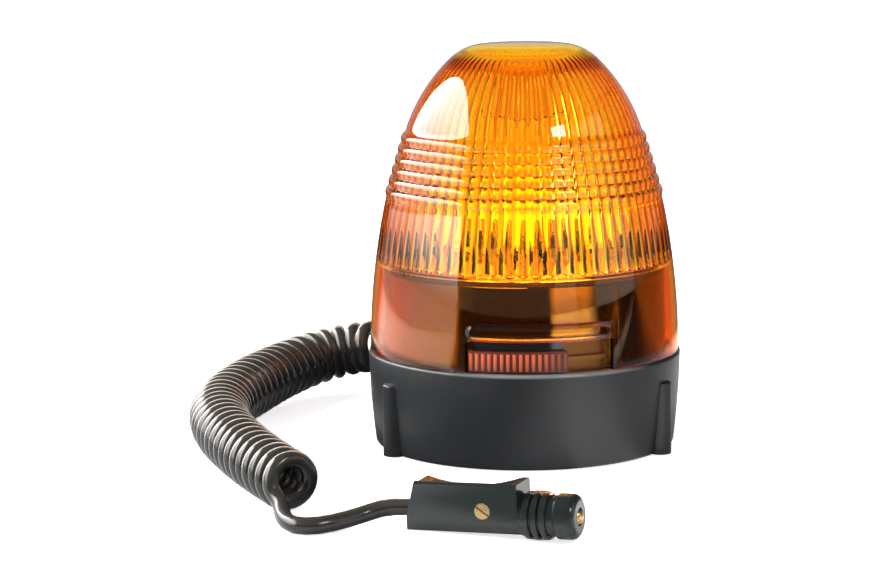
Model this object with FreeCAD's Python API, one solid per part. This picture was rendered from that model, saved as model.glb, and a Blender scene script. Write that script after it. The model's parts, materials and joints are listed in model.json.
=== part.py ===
import FreeCAD, Part
import math

# A rotating amber beacon on a magnetic foot, with a curly supply cord and a socket plug.
# Millimetres and degrees. +Z is up, the origin is the middle of the foot's underside and
# the front is at -Y. A place round the body is given by its turn from the front towards +X.

Vector = FreeCAD.Vector
UP = Vector(0, 0, 1)
ORIGIN = Vector(0, 0, 0)

# Fits and gaps
running_clearance = 0.05
screw_clearance = 0.1
screw_recess_width = 0.45
screw_recess_depth = 0.5
body_gap = 0.3
cut_margin = 1.0

# Amber lens: a tapering skirt, a belt of outer rings and a rounded crown
lens_base_radius = 81.6
lens_height = 160.7
lens_wall = 2.6
skirt_height = 81.2
skirt_bulge = 2.2
belt_height = 33.5
belt_bottom_share = 0.8873
belt_top_share = 0.7623
belt_ring_count = 6
belt_ring_bulge = 1.3
dome_bulge = 2.9
crown_share = 0.4657
crown_drop = 7.5
crown_corner_bulge = 1.5
crown_top_share = 0.2696
crown_top_drop = 0.7
crown_thickness = 4.0
flute_count = 72
flute_depth = 1.5
flute_start_height = 45.7
seal_land_height = 1.8
seal_land_width = 3.6

# Window in the lens skirt with the ribbed lock slide
window_left_turn = -23.4
window_right_turn = 31.4
window_height = 16.2
window_bar_height = 8.6
window_bar_count = 3
window_bar_share = 0.6
window_bar_proud = 0.7
lock_slide_travel = 17.0
lock_slide_end_gap = 0.5
lock_slide_height = 10.6
lock_slide_lift = 0.6
lock_slide_thickness = 4.2
lock_rib_count = 16
lock_rib_radius = 1.0
lock_rail_height = 2.0
lock_rail_proud = 2.2
lock_rail_lift = 6.0

# Magnetic foot
foot_height = 50.0
foot_step = 0.9
foot_taper = 3.2
foot_wall_bulge = 0.6
foot_wall = 3.0
foot_shoulder_radius = 1.6
foot_bottom_radius = 1.6
foot_lift = 0.4
foot_seat_depth = 3.3
foot_seat_thickness = 4.0
foot_floor_thickness = 3.0
column_turns = (-60.0, 60.0, 180.0)
column_radius = 6.0
column_proud = 3.2
column_height = 38.0
column_top_round = 1.2
foot_screw_radius = 2.0
foot_screw_head_radius = 3.6
foot_screw_head_height = 3.0
foot_screw_head_depth = 7.0
foot_screw_boss_wall = 2.4

# Magnet under the foot's floor
pad_thickness = 3.0
pad_wall = 3.0
pad_lip_height = 6.0
pad_hole_radius = 14.0
pad_edge = 1.0
magnet_radius = 55.0
magnet_thickness = 10.0
pole_plate_thickness = 2.5
pole_plate_margin = 1.5
magnet_bolt_radius = 2.5
magnet_bolt_head_radius = 8.5
magnet_bolt_head_height = 3.6
magnet_counterbore_depth = 5.0
magnet_nut_flats = 8.0
magnet_nut_height = 4.0

# Black drum housing inside the lens skirt
drum_gap = 4.0
drum_draft = 1.0
drum_wall = 2.5
drum_height = 43.5
drum_flange_thickness = 3.0
drum_flange_width = 2.6
drum_deck_height = 28.0
drum_deck_thickness = 3.0
drum_rim_round = 0.8
seal_height = 2.2
seal_width = 3.0

# Bulb post, bearing and turntable, stacked on the deck
post_radius = 8.5
post_bore_radius = 5.0
post_flange_radius = 16.0
post_flange_thickness = 2.5
post_height = 22.0
post_screw_radius = 1.5
post_screw_head_radius = 2.8
post_screw_head_height = 2.0
post_screw_circle = 12.4
post_screw_count = 3
post_screw_first_turn = 30.0
washer_thickness = 1.0
washer_width = 4.4
bush_wall = 2.0
bush_length = 11.4
bush_flange_thickness = 1.2
bush_flange_width = 2.0
clip_thickness = 1.2
clip_depth = 0.9
clip_width = 3.2
clip_mouth = 20.0
hub_wall = 3.5
hub_lift = 0.5
turntable_thickness = 4.0
turntable_hole_radius = 6.0
turntable_hole_circle = 24.0
turntable_hole_turns = (0.0, 135.0, 225.0)
gear_teeth = 72
pinion_teeth = 12
gear_module = 1.0
gear_face_width = 6.0
tooth_thickness_share = 0.40
tooth_root_depth = 1.25
gear_rim_depth = 4.0
tooth_flank_slope = 0.25
gear_lift = 1.5
pinion_overhang = 0.5
centre_distance_slack = 0.1

# Drive motor hung under the deck
motor_turn = 150.0
motor_radius = 12.5
motor_length = 30.0
motor_ear_thickness = 1.6
motor_ear_radius = 17.5
motor_ear_half_width = 5.0
motor_damper_thickness = 2.4
motor_damper_radius = 16.5
motor_damper_hole_radius = 6.0
motor_boss_radius = 4.0
motor_shaft_radius = 1.15
motor_shaft_tail = 8.0
motor_screw_circle = 15.2
motor_screw_radius = 1.25
motor_screw_head_radius = 2.4
motor_screw_head_height = 1.6
motor_edge_round = 1.5

# Reflector on the turntable
rest_turn = 12.0
reflector_focal_length = 18.0
reflector_width = 80.0
reflector_height = 68.0
reflector_corner = 24.0
reflector_thickness = 1.6
reflector_curve_points = 7
reflector_notch_gap = 2.0
reflector_tab_thickness = 2.4
reflector_tab_width = 13.0
reflector_tab_depth = 19.0
pillar_spread = 21.0
pillar_radius = 5.0
pillar_setback = 6.5
reflector_screw_radius = 1.5
reflector_screw_head_radius = 2.8
reflector_screw_head_height = 2.0
reflector_screw_length = 12.0

# Bulb with its axial filament at the reflector's focus
holder_radius = 10.5
holder_height = 6.0
holder_lug_width = 4.0
holder_lug_thickness = 1.6
holder_lug_rise = 3.4
bulb_flange_radius = 7.2
bulb_flange_thickness = 1.0
bulb_collar_radius = 5.4
bulb_collar_height = 6.0
bulb_plug_radius = 4.4
bulb_glass_radius = 4.6
bulb_glass_length = 34.0
bulb_glass_wall = 0.7
filament_height = 25.0
filament_radius = 0.8
filament_length = 5.0
filament_lead_radius = 0.25
contact_width = 6.3
contact_thickness = 0.8
contact_length = 8.0
clip_wire_radius = 0.5
clip_half_width = 6.2
clip_leg_start = 9.8
clip_leg_end = 3.0

# Supply cord
cord_radius = 4.0
cord_bend_reach = 0.45
coil_radius = 17.0
gland_turn = 214.0
gland_height = 30.0
gland_flange_radius = 8.5
gland_flange_thickness = 2.8
gland_neck_radius = 6.0
gland_boot_radius = 7.0
gland_tip_radius = 4.9
gland_boot_length = 19.4
gland_groove_count = 4
gland_groove_depth = 0.7

# Axis of the curly stretch, then the plain tail from the coil's lower edge to the plug
coil_points = (
    (-69.8, 103.5, 30.0),
    (-80.0, 116.5, 29.0),
    (-94.0, 125.0, 26.5),
    (-110.0, 125.0, 23.0),
    (-124.5, 115.0, 20.2),
    (-138.0, 94.0, 18.2),
    (-151.0, 59.0, 17.3),
    (-163.5, 9.0, 17.1),
    (-159.5, -39.5, 17.1),
    (-145.0, -88.0, 17.1),
    (-127.5, -133.0, 17.1),
    (-112.5, -166.0, 17.1),
)
tail_points = (
    (-119.9, -169.3, 7.2),
    (-118.8, -184.0, 4.6),
    (-113.0, -198.0, 4.2),
    (-101.5, -199.0, 4.2),
    (-88.0, -188.5, 4.6),
    (-77.5, -181.5, 6.4),
    (-68.5, -182.1, 9.2),
    (-56.8, -187.0, 9.75),
)

# Socket plug, laid on the floor on its rear edge and its ridged nose
plug_rear = (-59.0, -186.1)
plug_direction = -22.6
plug_tilt = 2.66
plug_body_length = 56.0
plug_body_height = 23.6
plug_half_width = 9.0
plug_lift = 0.2
plug_bottom_chamfer = 6.4
plug_bottom_half_width = 5.2
plug_top_chamfer = 1.0
plug_rear_rake = 6.0
plug_grip_radius = 72.0
plug_grip_depth = 4.5
plug_grip_centre = 28.0
plug_grip_edge = 2.4
plug_screw_place = 39.0
plug_screw_height = 11.0
plug_screw_head_radius = 3.7
plug_screw_head_height = 1.8
plug_screw_radius = 1.6
plug_screw_length = 14.0
plug_screw_slot = 0.8
plug_screw_slot_turn = -35.0
nose_axis_height = 8.2
nose_radius = 10.4
nose_neck_radius = 9.6
nose_ridge_radius = 10.9
nose_waist_radius = 9.4
nose_neck_length = 2.0
nose_ridge_length = 2.9
nose_ridge_count = 3
nose_ridge_gap = 1.2
nose_waist_length = 2.2
nose_barrel_length = 6.0
nose_end_length = 3.2
nose_end_radius = 7.0
nose_edge = 0.5
tip_radius = 4.1
tip_proud = 1.6
tip_shoulder_radius = 5.2
tip_shoulder_length = 2.5
tip_travel = 1.6
tip_wall = 3.0
side_contact_length = 11.0
side_contact_width = 4.4
side_contact_thickness = 1.0
side_contact_rise = 0.15
side_contact_travel = 1.0
side_contact_turns = (180.0, 0.0)

# Heights that the stack of pieces sets
lens_bottom = foot_height + body_gap
seat_height = foot_height - foot_seat_depth
deck_bottom = foot_height + drum_deck_height
deck_top = deck_bottom + drum_deck_thickness
drum_top = foot_height + drum_height
washer_bottom = deck_top + post_flange_thickness
bush_bottom = washer_bottom + washer_thickness + running_clearance
bush_top = bush_bottom + bush_length
hub_top = bush_top - bush_flange_thickness
gear_bottom = bush_bottom + gear_lift
gear_top = gear_bottom + gear_face_width
turntable_top = gear_bottom + turntable_thickness
post_top = deck_top + post_height
holder_top = post_top + holder_height
bulb_seat = holder_top + bulb_flange_thickness
filament_middle = bulb_seat + filament_height
magnet_top = pad_thickness + magnet_thickness
floor_bottom = magnet_top + pole_plate_thickness
floor_top = floor_bottom + foot_floor_thickness
reflector_bottom = filament_middle - reflector_height / 2

# Radii that the lens's foot and the stack of pieces set
belt_bottom_radius = belt_bottom_share * lens_base_radius
belt_top_radius = belt_top_share * lens_base_radius
crown_radius = crown_share * lens_base_radius
crown_top_radius = crown_top_share * lens_base_radius
foot_top_radius = lens_base_radius + foot_step
foot_base_radius = foot_top_radius - foot_taper
drum_base_radius = lens_base_radius - lens_wall - drum_gap
drum_top_radius = drum_base_radius - drum_draft
flange_radius = drum_base_radius + drum_flange_width
foot_screw_circle = drum_base_radius - drum_wall / 2 + foot_screw_radius / 2
gear_radius = gear_teeth * gear_module / 2
pinion_radius = pinion_teeth * gear_module / 2
motor_distance = gear_radius + pinion_radius + centre_distance_slack
bush_radius = post_radius + running_clearance + bush_wall
hub_radius = bush_radius + hub_wall
holder_reach = clip_leg_start + holder_lug_thickness
holder_sweep_radius = math.hypot(clip_half_width + holder_lug_width / 2, holder_reach)


def azimuth(turn):
    """The angle from +X of a place that is turned this far from the front."""
    return turn - 90.0


def place(radius, turn, height=0.0):
    """A point at a radius and a turn from the front."""
    angle = math.radians(azimuth(turn))
    return Vector(radius * math.cos(angle), radius * math.sin(angle), height)


def rod(radius, bottom, top, at=ORIGIN):
    """An upright cylinder between two heights."""
    return Part.makeCylinder(radius, top - bottom, Vector(at.x, at.y, bottom))


def hole(radius, bottom, top, at=ORIGIN):
    """A cutter for an upright hole, which reaches past both of its ends."""
    return rod(radius, bottom - cut_margin, top + cut_margin, at)


def line(start, end):
    """A straight edge of a turned profile, from one (radius, height) to another."""
    return Part.LineSegment(Vector(start[0], 0, start[1]), Vector(end[0], 0, end[1])).toShape()


def bow_middle(start, end, bulge):
    """The middle of an arc that stands out of its chord, to the right of its travel, by bulge."""
    run = (end[0] - start[0], end[1] - start[1])
    length = math.hypot(*run)
    middle = ((start[0] + end[0]) / 2, (start[1] + end[1]) / 2)
    return middle[0] + bulge * run[1] / length, middle[1] - bulge * run[0] / length


def bow(start, end, bulge):
    """An arc edge of a turned profile that stands out of its chord by bulge."""
    middle = bow_middle(start, end, bulge)
    points = [Vector(p[0], 0, p[1]) for p in (start, middle, end)]
    return Part.Arc(*points).toShape()


def cap_bulge(radius, drop):
    """How far half of a shallow round cap stands out of its chord from edge to apex."""
    cap_radius = (radius ** 2 + drop ** 2) / (2 * drop)
    half_chord = math.hypot(radius, drop) / 2
    return cap_radius - math.sqrt(cap_radius ** 2 - half_chord ** 2)


def bow_radius_at(start, end, bulge, height):
    """The radius of such an arc at a height."""
    half_chord = math.hypot(end[0] - start[0], end[1] - start[1]) / 2
    arc_radius = (half_chord ** 2 + bulge ** 2) / (2 * bulge)
    middle = bow_middle(start, end, bulge - arc_radius)
    return middle[0] + math.sqrt(arc_radius ** 2 - (height - middle[1]) ** 2)


def turned(edges):
    """A solid of revolution about Z from a closed profile's edges."""
    face = Part.Face(Part.Wire(Part.__sortEdges__(edges)))
    return face.revolve(ORIGIN, UP, 360)


def turned_outline(points):
    """A solid of revolution about Z from a closed outline of (radius, height) corners."""
    corners = list(points) + [points[0]]
    return turned([line(a, b) for a, b in zip(corners, corners[1:])])


def ring(inner, outer, bottom, top):
    """A plain ring between two radii and two heights."""
    return turned_outline(((inner, bottom), (outer, bottom), (outer, top), (inner, top)))


def sector(inner, outer, bottom, top, start_turn, end_turn):
    """A piece of such a ring between two turns from the front."""
    corners = [Vector(r, 0, z) for r, z in ((inner, bottom), (outer, bottom), (outer, top), (inner, top))]
    face = Part.Face(Part.makePolygon(corners + corners[:1]))
    face.rotate(ORIGIN, UP, azimuth(start_turn))
    return face.revolve(ORIGIN, UP, end_turn - start_turn)


def fuse(shapes):
    """One solid from pieces that meet."""
    return shapes[0].multiFuse(shapes[1:]).removeSplitter()


def cut(shape, tools):
    """A solid with every tool taken out of it."""
    return shape.cut(Part.makeCompound(tools))


def hexagon(flats, bottom, top):
    """An upright hexagonal bar, measured across its flats."""
    corner = flats / math.sqrt(3)
    corners = [Vector(corner * math.cos(k * math.pi / 3), corner * math.sin(k * math.pi / 3), bottom)
               for k in range(7)]
    return Part.Face(Part.makePolygon(corners)).extrude(Vector(0, 0, top - bottom))


def headed_screw(radius, length, head_radius, head_height):
    """A screw whose shank points up from z = 0, with its head below and a driver recess in the head."""
    recess_radius = head_radius * screw_recess_width
    recess_depth = head_height * screw_recess_depth
    recess = rod(recess_radius, -head_height, recess_depth - head_height)
    return rod(head_radius, -head_height, 0).cut(recess).fuse(rod(radius, 0, length))


def put(name, shape):
    """Writes one piece's solids to its file."""
    assert shape.isValid(), name
    shape.exportStep("parts/" + name + ".step")


# Lens


def lens_profile():
    """The lens's outer edges from the skirt's foot to the apex, in (radius, height)."""
    belt_bottom = lens_bottom + skirt_height
    belt_top = belt_bottom + belt_height
    apex = lens_bottom + lens_height
    edges = [bow((lens_base_radius, lens_bottom), (belt_bottom_radius, belt_bottom), skirt_bulge)]
    step = (belt_top_radius - belt_bottom_radius) / belt_ring_count
    rise = belt_height / belt_ring_count
    for k in range(belt_ring_count):
        low = (belt_bottom_radius + k * step, belt_bottom + k * rise)
        high = (low[0] + step, low[1] + rise)
        edges.append(bow(low, high, belt_ring_bulge))
    shoulder = (crown_radius, apex - crown_drop)
    top_edge = (crown_top_radius, apex - crown_top_drop)
    edges.append(bow((belt_top_radius, belt_top), shoulder, dome_bulge))
    edges.append(bow(shoulder, top_edge, crown_corner_bulge))
    edges.append(bow(top_edge, (0, apex), cap_bulge(crown_top_radius, crown_top_drop)))
    return edges


def lens_outer_radius(height):
    """The lens's outer radius at a height, taken along the roots of the belt's rings."""
    belt_bottom = lens_bottom + skirt_height
    belt_top = belt_bottom + belt_height
    if height <= belt_bottom:
        skirt_foot = (lens_base_radius, lens_bottom)
        skirt_head = (belt_bottom_radius, belt_bottom)
        return bow_radius_at(skirt_foot, skirt_head, skirt_bulge, height)
    if height <= belt_top:
        share = (height - belt_bottom) / belt_height
        return belt_bottom_radius + share * (belt_top_radius - belt_bottom_radius)
    shoulder = (crown_radius, lens_bottom + lens_height - crown_drop)
    return bow_radius_at((belt_top_radius, belt_top), shoulder, dome_bulge, height)


def flute_section(height):
    """A star outline at a height: valleys at the wall's thickness and a ridge for each flute."""
    valley = lens_outer_radius(height) - lens_wall
    ridge = valley - flute_depth * valley / lens_base_radius
    corners = []
    for k in range(2 * flute_count):
        radius = ridge if k % 2 else valley
        corners.append(place(radius, 180.0 * k / flute_count, height))
    return Part.makePolygon(corners + corners[:1])


def lens_dome():
    """The amber lens: a turned shell with upright flutes inside and the lock's window in its skirt."""
    flute_bottom = lens_bottom + flute_start_height
    land_top = flute_bottom + seal_land_height
    belt_bottom = lens_bottom + skirt_height
    belt_top = belt_bottom + belt_height
    apex = lens_bottom + lens_height
    shoulder = apex - crown_drop
    outside = lens_profile()
    outside.append(line((0, apex), (0, lens_bottom)))
    outside.append(line((0, lens_bottom), (lens_base_radius, lens_bottom)))
    shell = turned(outside)
    skirt_foot = (lens_base_radius - lens_wall, lens_bottom - cut_margin)
    skirt_head = (lens_outer_radius(flute_bottom) - lens_wall, flute_bottom)
    skirt_bow = lens_outer_radius((lens_bottom + flute_bottom) / 2) - lens_wall
    skirt_bow -= (skirt_foot[0] + skirt_head[0]) / 2
    skirt_hollow = turned([
        bow(skirt_foot, skirt_head, skirt_bow),
        line(skirt_head, (0, flute_bottom)),
        line((0, flute_bottom), (0, skirt_foot[1])),
        line((0, skirt_foot[1]), skirt_foot),
    ])
    land_radius = skirt_head[0] - seal_land_width
    land_hollow = rod(land_radius, flute_bottom - cut_margin, land_top + cut_margin)
    dome_middle = (belt_top + shoulder) / 2
    sections = [flute_section(z) for z in (land_top, belt_bottom, belt_top, dome_middle, shoulder)]
    fluted_hollow = Part.makeLoft(sections, True, True)
    crown_hollow_top = apex - crown_thickness
    crown_start = crown_radius - 2 * lens_wall
    crown_hollow = Part.makeCone(crown_start, crown_top_radius, crown_hollow_top - shoulder + cut_margin,
                                 Vector(0, 0, shoulder - cut_margin))
    bars = []
    bar_pitch = window_bar_height / window_bar_count
    window_top = lens_bottom + window_height
    for k in range(window_bar_count):
        low = window_top + k * bar_pitch
        high = low + bar_pitch * window_bar_share
        outer = lens_outer_radius((low + high) / 2)
        bars.append(sector(outer - lens_wall / 2, outer + window_bar_proud, low, high,
                           window_left_turn, window_right_turn))
    window = sector(lens_base_radius - 2 * lens_wall, lens_base_radius + cut_margin,
                    lens_bottom - cut_margin, window_top, window_left_turn, window_right_turn)
    shell = cut(shell, [skirt_hollow, land_hollow, fluted_hollow, crown_hollow])
    return fuse([cut(shell, [window])] + bars)


def lock_slide():
    """The ribbed slide in the lens window, with a groove at its back for the drum's rail."""
    inner = drum_base_radius + body_gap
    outer = inner + lock_slide_thickness
    bottom = foot_height + lock_slide_lift
    top = bottom + lock_slide_height
    left = window_left_turn + lock_slide_end_gap
    right = window_right_turn - lock_slide_end_gap - lock_slide_travel
    body = sector(inner, outer, bottom, top, left, right)
    rail_bottom = foot_height + lock_rail_lift
    groove = sector(inner - cut_margin, drum_base_radius + lock_rail_proud + body_gap,
                    rail_bottom - body_gap, rail_bottom + lock_rail_height + body_gap,
                    left - cut_margin, right + cut_margin)
    pitch = (right - left) / lock_rib_count
    ribs = []
    for k in range(lock_rib_count):
        at = place(outer, left + (k + 0.5) * pitch)
        ribs.append(rod(lock_rib_radius, bottom + lock_rib_radius, top - lock_rib_radius, at))
    return fuse([body.cut(groove)] + ribs)


def lens_seal():
    """The soft ring on the drum's rim that the lens's land closes on."""
    middle = drum_top_radius - drum_wall / 2
    bottom = drum_top
    top = drum_top + seal_height
    left = middle - seal_width / 2
    right = middle + seal_width / 2
    shoulder = top - seal_height / 2
    return turned([
        line((left, bottom), (right, bottom)),
        line((right, bottom), (right, shoulder)),
        bow((right, shoulder), (left, shoulder), seal_height / 2),
        line((left, shoulder), (left, bottom)),
    ])


# Foot and magnet


def foot_wall_radius(height):
    """The skirt's outer radius at a height."""
    low = (foot_base_radius, foot_lift + foot_bottom_radius)
    high = (foot_top_radius, foot_height - foot_shoulder_radius)
    return bow_radius_at(low, high, foot_wall_bulge, height)


def round_bulge(radius):
    """How far a quarter round of this radius stands out of its chord."""
    return radius * (1 - math.sqrt(0.5))


def magnet_foot():
    """The black skirt with its floor, the seat for the drum, three columns and the cord's hole."""
    low = (foot_base_radius, foot_lift + foot_bottom_radius)
    high = (foot_top_radius, foot_height - foot_shoulder_radius)
    sole = (foot_base_radius - foot_bottom_radius, foot_lift)
    crest = (foot_top_radius - foot_shoulder_radius, foot_height)
    rim = flange_radius + 2 * screw_clearance
    seat = drum_base_radius - drum_wall - foot_screw_radius
    seat_bottom = seat_height - foot_seat_thickness
    inner_top = (foot_wall_radius(seat_bottom) - foot_wall, seat_bottom)
    inner_floor = (foot_wall_radius(floor_top) - foot_wall, floor_top)
    under_floor = (foot_wall_radius(floor_bottom) - foot_wall, floor_bottom)
    inner_sole = (foot_base_radius - foot_wall, foot_lift)
    corners = [crest, (rim, foot_height), (rim, seat_height), (seat, seat_height), (seat, seat_bottom),
               inner_top, inner_floor, (0, floor_top), (0, floor_bottom), under_floor, inner_sole, sole]
    edges = [
        bow(sole, low, round_bulge(foot_bottom_radius)),
        bow(low, high, foot_wall_bulge),
        bow(high, crest, round_bulge(foot_shoulder_radius)),
    ]
    edges += [line(a, b) for a, b in zip(corners, corners[1:])]
    body = turned(edges)
    boss_radius = foot_screw_radius + screw_clearance + foot_screw_boss_wall
    added = []
    taken = [hole(magnet_bolt_radius + screw_clearance, floor_bottom, floor_top)]
    for turn in column_turns:
        column_centre = foot_wall_radius(column_height) + column_proud - column_radius
        column = rod(column_radius, foot_lift, column_height, place(column_centre, turn))
        top_edge = [e for e in column.Edges if e.BoundBox.ZMin > column_height - cut_margin / 10]
        added.append(column.makeFillet(column_top_round, top_edge))
        at = place(foot_screw_circle, turn)
        added.append(rod(boss_radius, foot_lift, seat_height, at))
        taken.append(hole(foot_screw_radius + screw_clearance, foot_lift, seat_height, at))
        taken.append(rod(foot_screw_head_radius + screw_clearance, foot_lift - cut_margin,
                         foot_lift + foot_screw_head_depth, at))
    cord_hole_start = foot_top_radius - 2 * foot_wall - 2 * cut_margin
    cord_hole_length = 2 * foot_wall + 4 * cut_margin
    taken.append(Part.makeCylinder(gland_neck_radius + screw_clearance, cord_hole_length,
                                   place(cord_hole_start, gland_turn, gland_height), place(1, gland_turn)))
    return cut(fuse([body] + added), taken)


def foot_screws():
    """The three screws that hold the drum to the foot, up through the columns."""
    head_seat = foot_lift + foot_screw_head_depth
    length = foot_height - head_seat - screw_clearance
    screw = headed_screw(foot_screw_radius, length, foot_screw_head_radius, foot_screw_head_height)
    screws = []
    for turn in column_turns:
        placed = screw.copy()
        placed.translate(place(foot_screw_circle, turn, head_seat))
        screws.append(placed)
    return Part.makeCompound(screws)


def rubber_pad():
    """The soft shoe under the magnet, with a lip round its edge."""
    inner = magnet_radius + screw_clearance
    outer = inner + pad_wall
    lip_top = pad_thickness + pad_lip_height
    return turned_outline((
        (pad_hole_radius, 0), (outer - pad_edge, 0), (outer, pad_edge), (outer, lip_top),
        (inner, lip_top), (inner, pad_thickness), (pad_hole_radius, pad_thickness),
    ))


def magnet_ring():
    """The ferrite magnet, with a counterbored hole for its bolt."""
    bore = magnet_bolt_radius + screw_clearance
    counterbore = magnet_bolt_head_radius + screw_clearance
    step = pad_thickness + magnet_counterbore_depth
    return turned_outline((
        (counterbore, pad_thickness), (magnet_radius, pad_thickness), (magnet_radius, magnet_top),
        (bore, magnet_top), (bore, step), (counterbore, step),
    ))


def pole_plate():
    """The steel plate between the magnet and the foot's floor."""
    inner = magnet_bolt_radius + screw_clearance
    return ring(inner, magnet_radius + pole_plate_margin, magnet_top, floor_bottom)


def magnet_bolt():
    """The flanged bolt that clamps the magnet and its plate to the floor."""
    step = pad_thickness + magnet_counterbore_depth
    length = floor_top + magnet_nut_height + magnet_bolt_radius - step
    bolt = headed_screw(magnet_bolt_radius, length, magnet_bolt_head_radius, magnet_bolt_head_height)
    bolt.translate(Vector(0, 0, step))
    return bolt


def magnet_nut():
    """The hexagon nut on top of the floor."""
    nut_top = floor_top + magnet_nut_height
    bore = hole(magnet_bolt_radius + running_clearance, floor_top, nut_top)
    return hexagon(magnet_nut_flats, floor_top, nut_top).cut(bore)


# Drum, motor and rotor


def motor_place(height=0.0):
    """A point on the motor's axis."""
    return place(motor_distance, motor_turn, height)


def motor_screw_places():
    """Where the motor's two screws stand, on either side of its axis."""
    return [motor_place() + place(motor_screw_circle, motor_turn + side) for side in (90.0, -90.0)]


def post_screw_places():
    """Where the screws under the bulb post stand."""
    turns = [post_screw_first_turn + k * 360.0 / post_screw_count for k in range(post_screw_count)]
    return [place(post_screw_circle, turn) for turn in turns]


def drum_housing():
    """The black drum: a wall with a screw flange, the deck across it and the lock's rail."""
    flange_top = seat_height + drum_flange_thickness
    wall_inner_top = drum_top_radius - drum_wall
    wall_inner_base = drum_base_radius - drum_wall
    lip = drum_top - drum_rim_round
    edge = drum_top_radius - drum_rim_round
    corners = [(edge, drum_top), (wall_inner_top, drum_top), (wall_inner_top, deck_top),
               (post_bore_radius, deck_top), (post_bore_radius, deck_bottom),
               (wall_inner_base, deck_bottom), (wall_inner_base, seat_height),
               (flange_radius, seat_height), (flange_radius, flange_top), (drum_base_radius, flange_top),
               (drum_top_radius, lip)]
    edges = [line(a, b) for a, b in zip(corners, corners[1:])]
    edges.append(bow((drum_top_radius, lip), (edge, drum_top), round_bulge(drum_rim_round)))
    rail_bottom = foot_height + lock_rail_lift
    rail = sector(drum_base_radius - drum_wall / 2, drum_base_radius + lock_rail_proud, rail_bottom,
                  rail_bottom + lock_rail_height, window_left_turn, window_right_turn)
    taken = [hole(motor_boss_radius + body_gap, deck_bottom, deck_top, motor_place())]
    for at in post_screw_places():
        taken.append(hole(post_screw_radius + screw_clearance, deck_bottom, deck_top, at))
    for at in motor_screw_places():
        taken.append(hole(motor_screw_radius + screw_clearance, deck_bottom, deck_top, at))
    for turn in column_turns:
        taken.append(rod(foot_screw_radius + running_clearance, seat_height - cut_margin, foot_height,
                         place(foot_screw_circle, turn)))
    return cut(fuse([turned(edges), rail]), taken)


def motor_levels():
    """The heights of the motor's ear plate and can, under the damper."""
    ear_top = deck_bottom - motor_damper_thickness
    ear_bottom = ear_top - motor_ear_thickness
    return ear_top, ear_bottom, ear_bottom - motor_length


def motor_body():
    """The motor's can with its two screw ears and a blind bore for the shaft."""
    ear_top, ear_bottom, can_bottom = motor_levels()
    can = rod(motor_radius, can_bottom, ear_bottom, motor_place())
    low_edge = [e for e in can.Edges if e.BoundBox.ZMax < can_bottom + cut_margin / 10]
    can = can.makeFillet(motor_edge_round, low_edge)
    plate = rod(motor_ear_radius, ear_bottom, ear_top, motor_place())
    strap = Part.makeBox(2 * motor_ear_half_width, 2 * motor_ear_radius, motor_ear_thickness,
                         Vector(-motor_ear_half_width, -motor_ear_radius, ear_bottom))
    strap.rotate(ORIGIN, UP, azimuth(motor_turn))
    strap.translate(motor_place())
    boss = rod(motor_boss_radius, ear_top, deck_bottom, motor_place())
    solid = fuse([can, plate.common(strap), boss])
    taken = [rod(motor_shaft_radius + running_clearance, ear_bottom - motor_shaft_tail - body_gap,
                 deck_bottom + cut_margin, motor_place())]
    for at in motor_screw_places():
        taken.append(hole(motor_screw_radius + screw_clearance, ear_bottom, ear_top, at))
    return cut(solid, taken)


def motor_damper():
    """The rubber ring between the motor's ears and the deck."""
    ear_top = motor_levels()[0]
    solid = rod(motor_damper_radius, ear_top, deck_bottom, motor_place())
    taken = [hole(motor_damper_hole_radius, ear_top, deck_bottom, motor_place())]
    for at in motor_screw_places():
        taken.append(hole(motor_screw_radius + screw_clearance, ear_top, deck_bottom, at))
    return cut(solid, taken)


def motor_screws():
    """The two screws through the motor's ears into the deck."""
    ear_bottom = motor_levels()[1]
    screw = headed_screw(motor_screw_radius, deck_top - ear_bottom,
                         motor_screw_head_radius, motor_screw_head_height)
    screws = []
    for at in motor_screw_places():
        placed = screw.copy()
        placed.translate(Vector(at.x, at.y, ear_bottom))
        screws.append(placed)
    return Part.makeCompound(screws)


def motor_shaft():
    """The motor's shaft, up through the deck into the pinion."""
    bottom = motor_levels()[1] - motor_shaft_tail
    return rod(motor_shaft_radius, bottom, gear_top + pinion_overhang, motor_place())


def gear_outline(teeth, first_tooth, height):
    """A spur gear's outline with straight flanks, its first tooth at an angle from +X."""
    pitch_radius = teeth * gear_module / 2
    half_tooth = tooth_thickness_share * math.pi * gear_module / 2
    root_depth = tooth_root_depth * gear_module
    root = (pitch_radius - root_depth, half_tooth + tooth_flank_slope * root_depth)
    tip = (pitch_radius + gear_module, half_tooth - tooth_flank_slope * gear_module)
    corners = []
    for k in range(teeth):
        middle = math.radians(first_tooth) + 2 * math.pi * k / teeth
        for radius, offset in ((root[0], -root[1]), (tip[0], -tip[1]), (tip[0], tip[1]), (root[0], root[1])):
            angle = middle + offset / radius
            corners.append(Vector(radius * math.cos(angle), radius * math.sin(angle), height))
    return Part.makePolygon(corners + corners[:1])


def motor_pinion():
    """The small gear on the motor's shaft, with a gap towards the ring gear's tooth."""
    low = gear_bottom - pinion_overhang
    facing = azimuth(motor_turn) + 180.0 + 180.0 / pinion_teeth
    outline = gear_outline(pinion_teeth, facing, low)
    solid = Part.Face(outline).extrude(Vector(0, 0, gear_face_width + 2 * pinion_overhang))
    solid.translate(motor_place())
    return solid.cut(rod(motor_shaft_radius, low - cut_margin, gear_top + 2 * cut_margin, motor_place()))


def pillar_places():
    """Where the reflector's two pillars stand, before the rotor is turned to its rest place."""
    return [Vector(side * pillar_spread, pillar_setback, 0) for side in (1, -1)]


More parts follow.
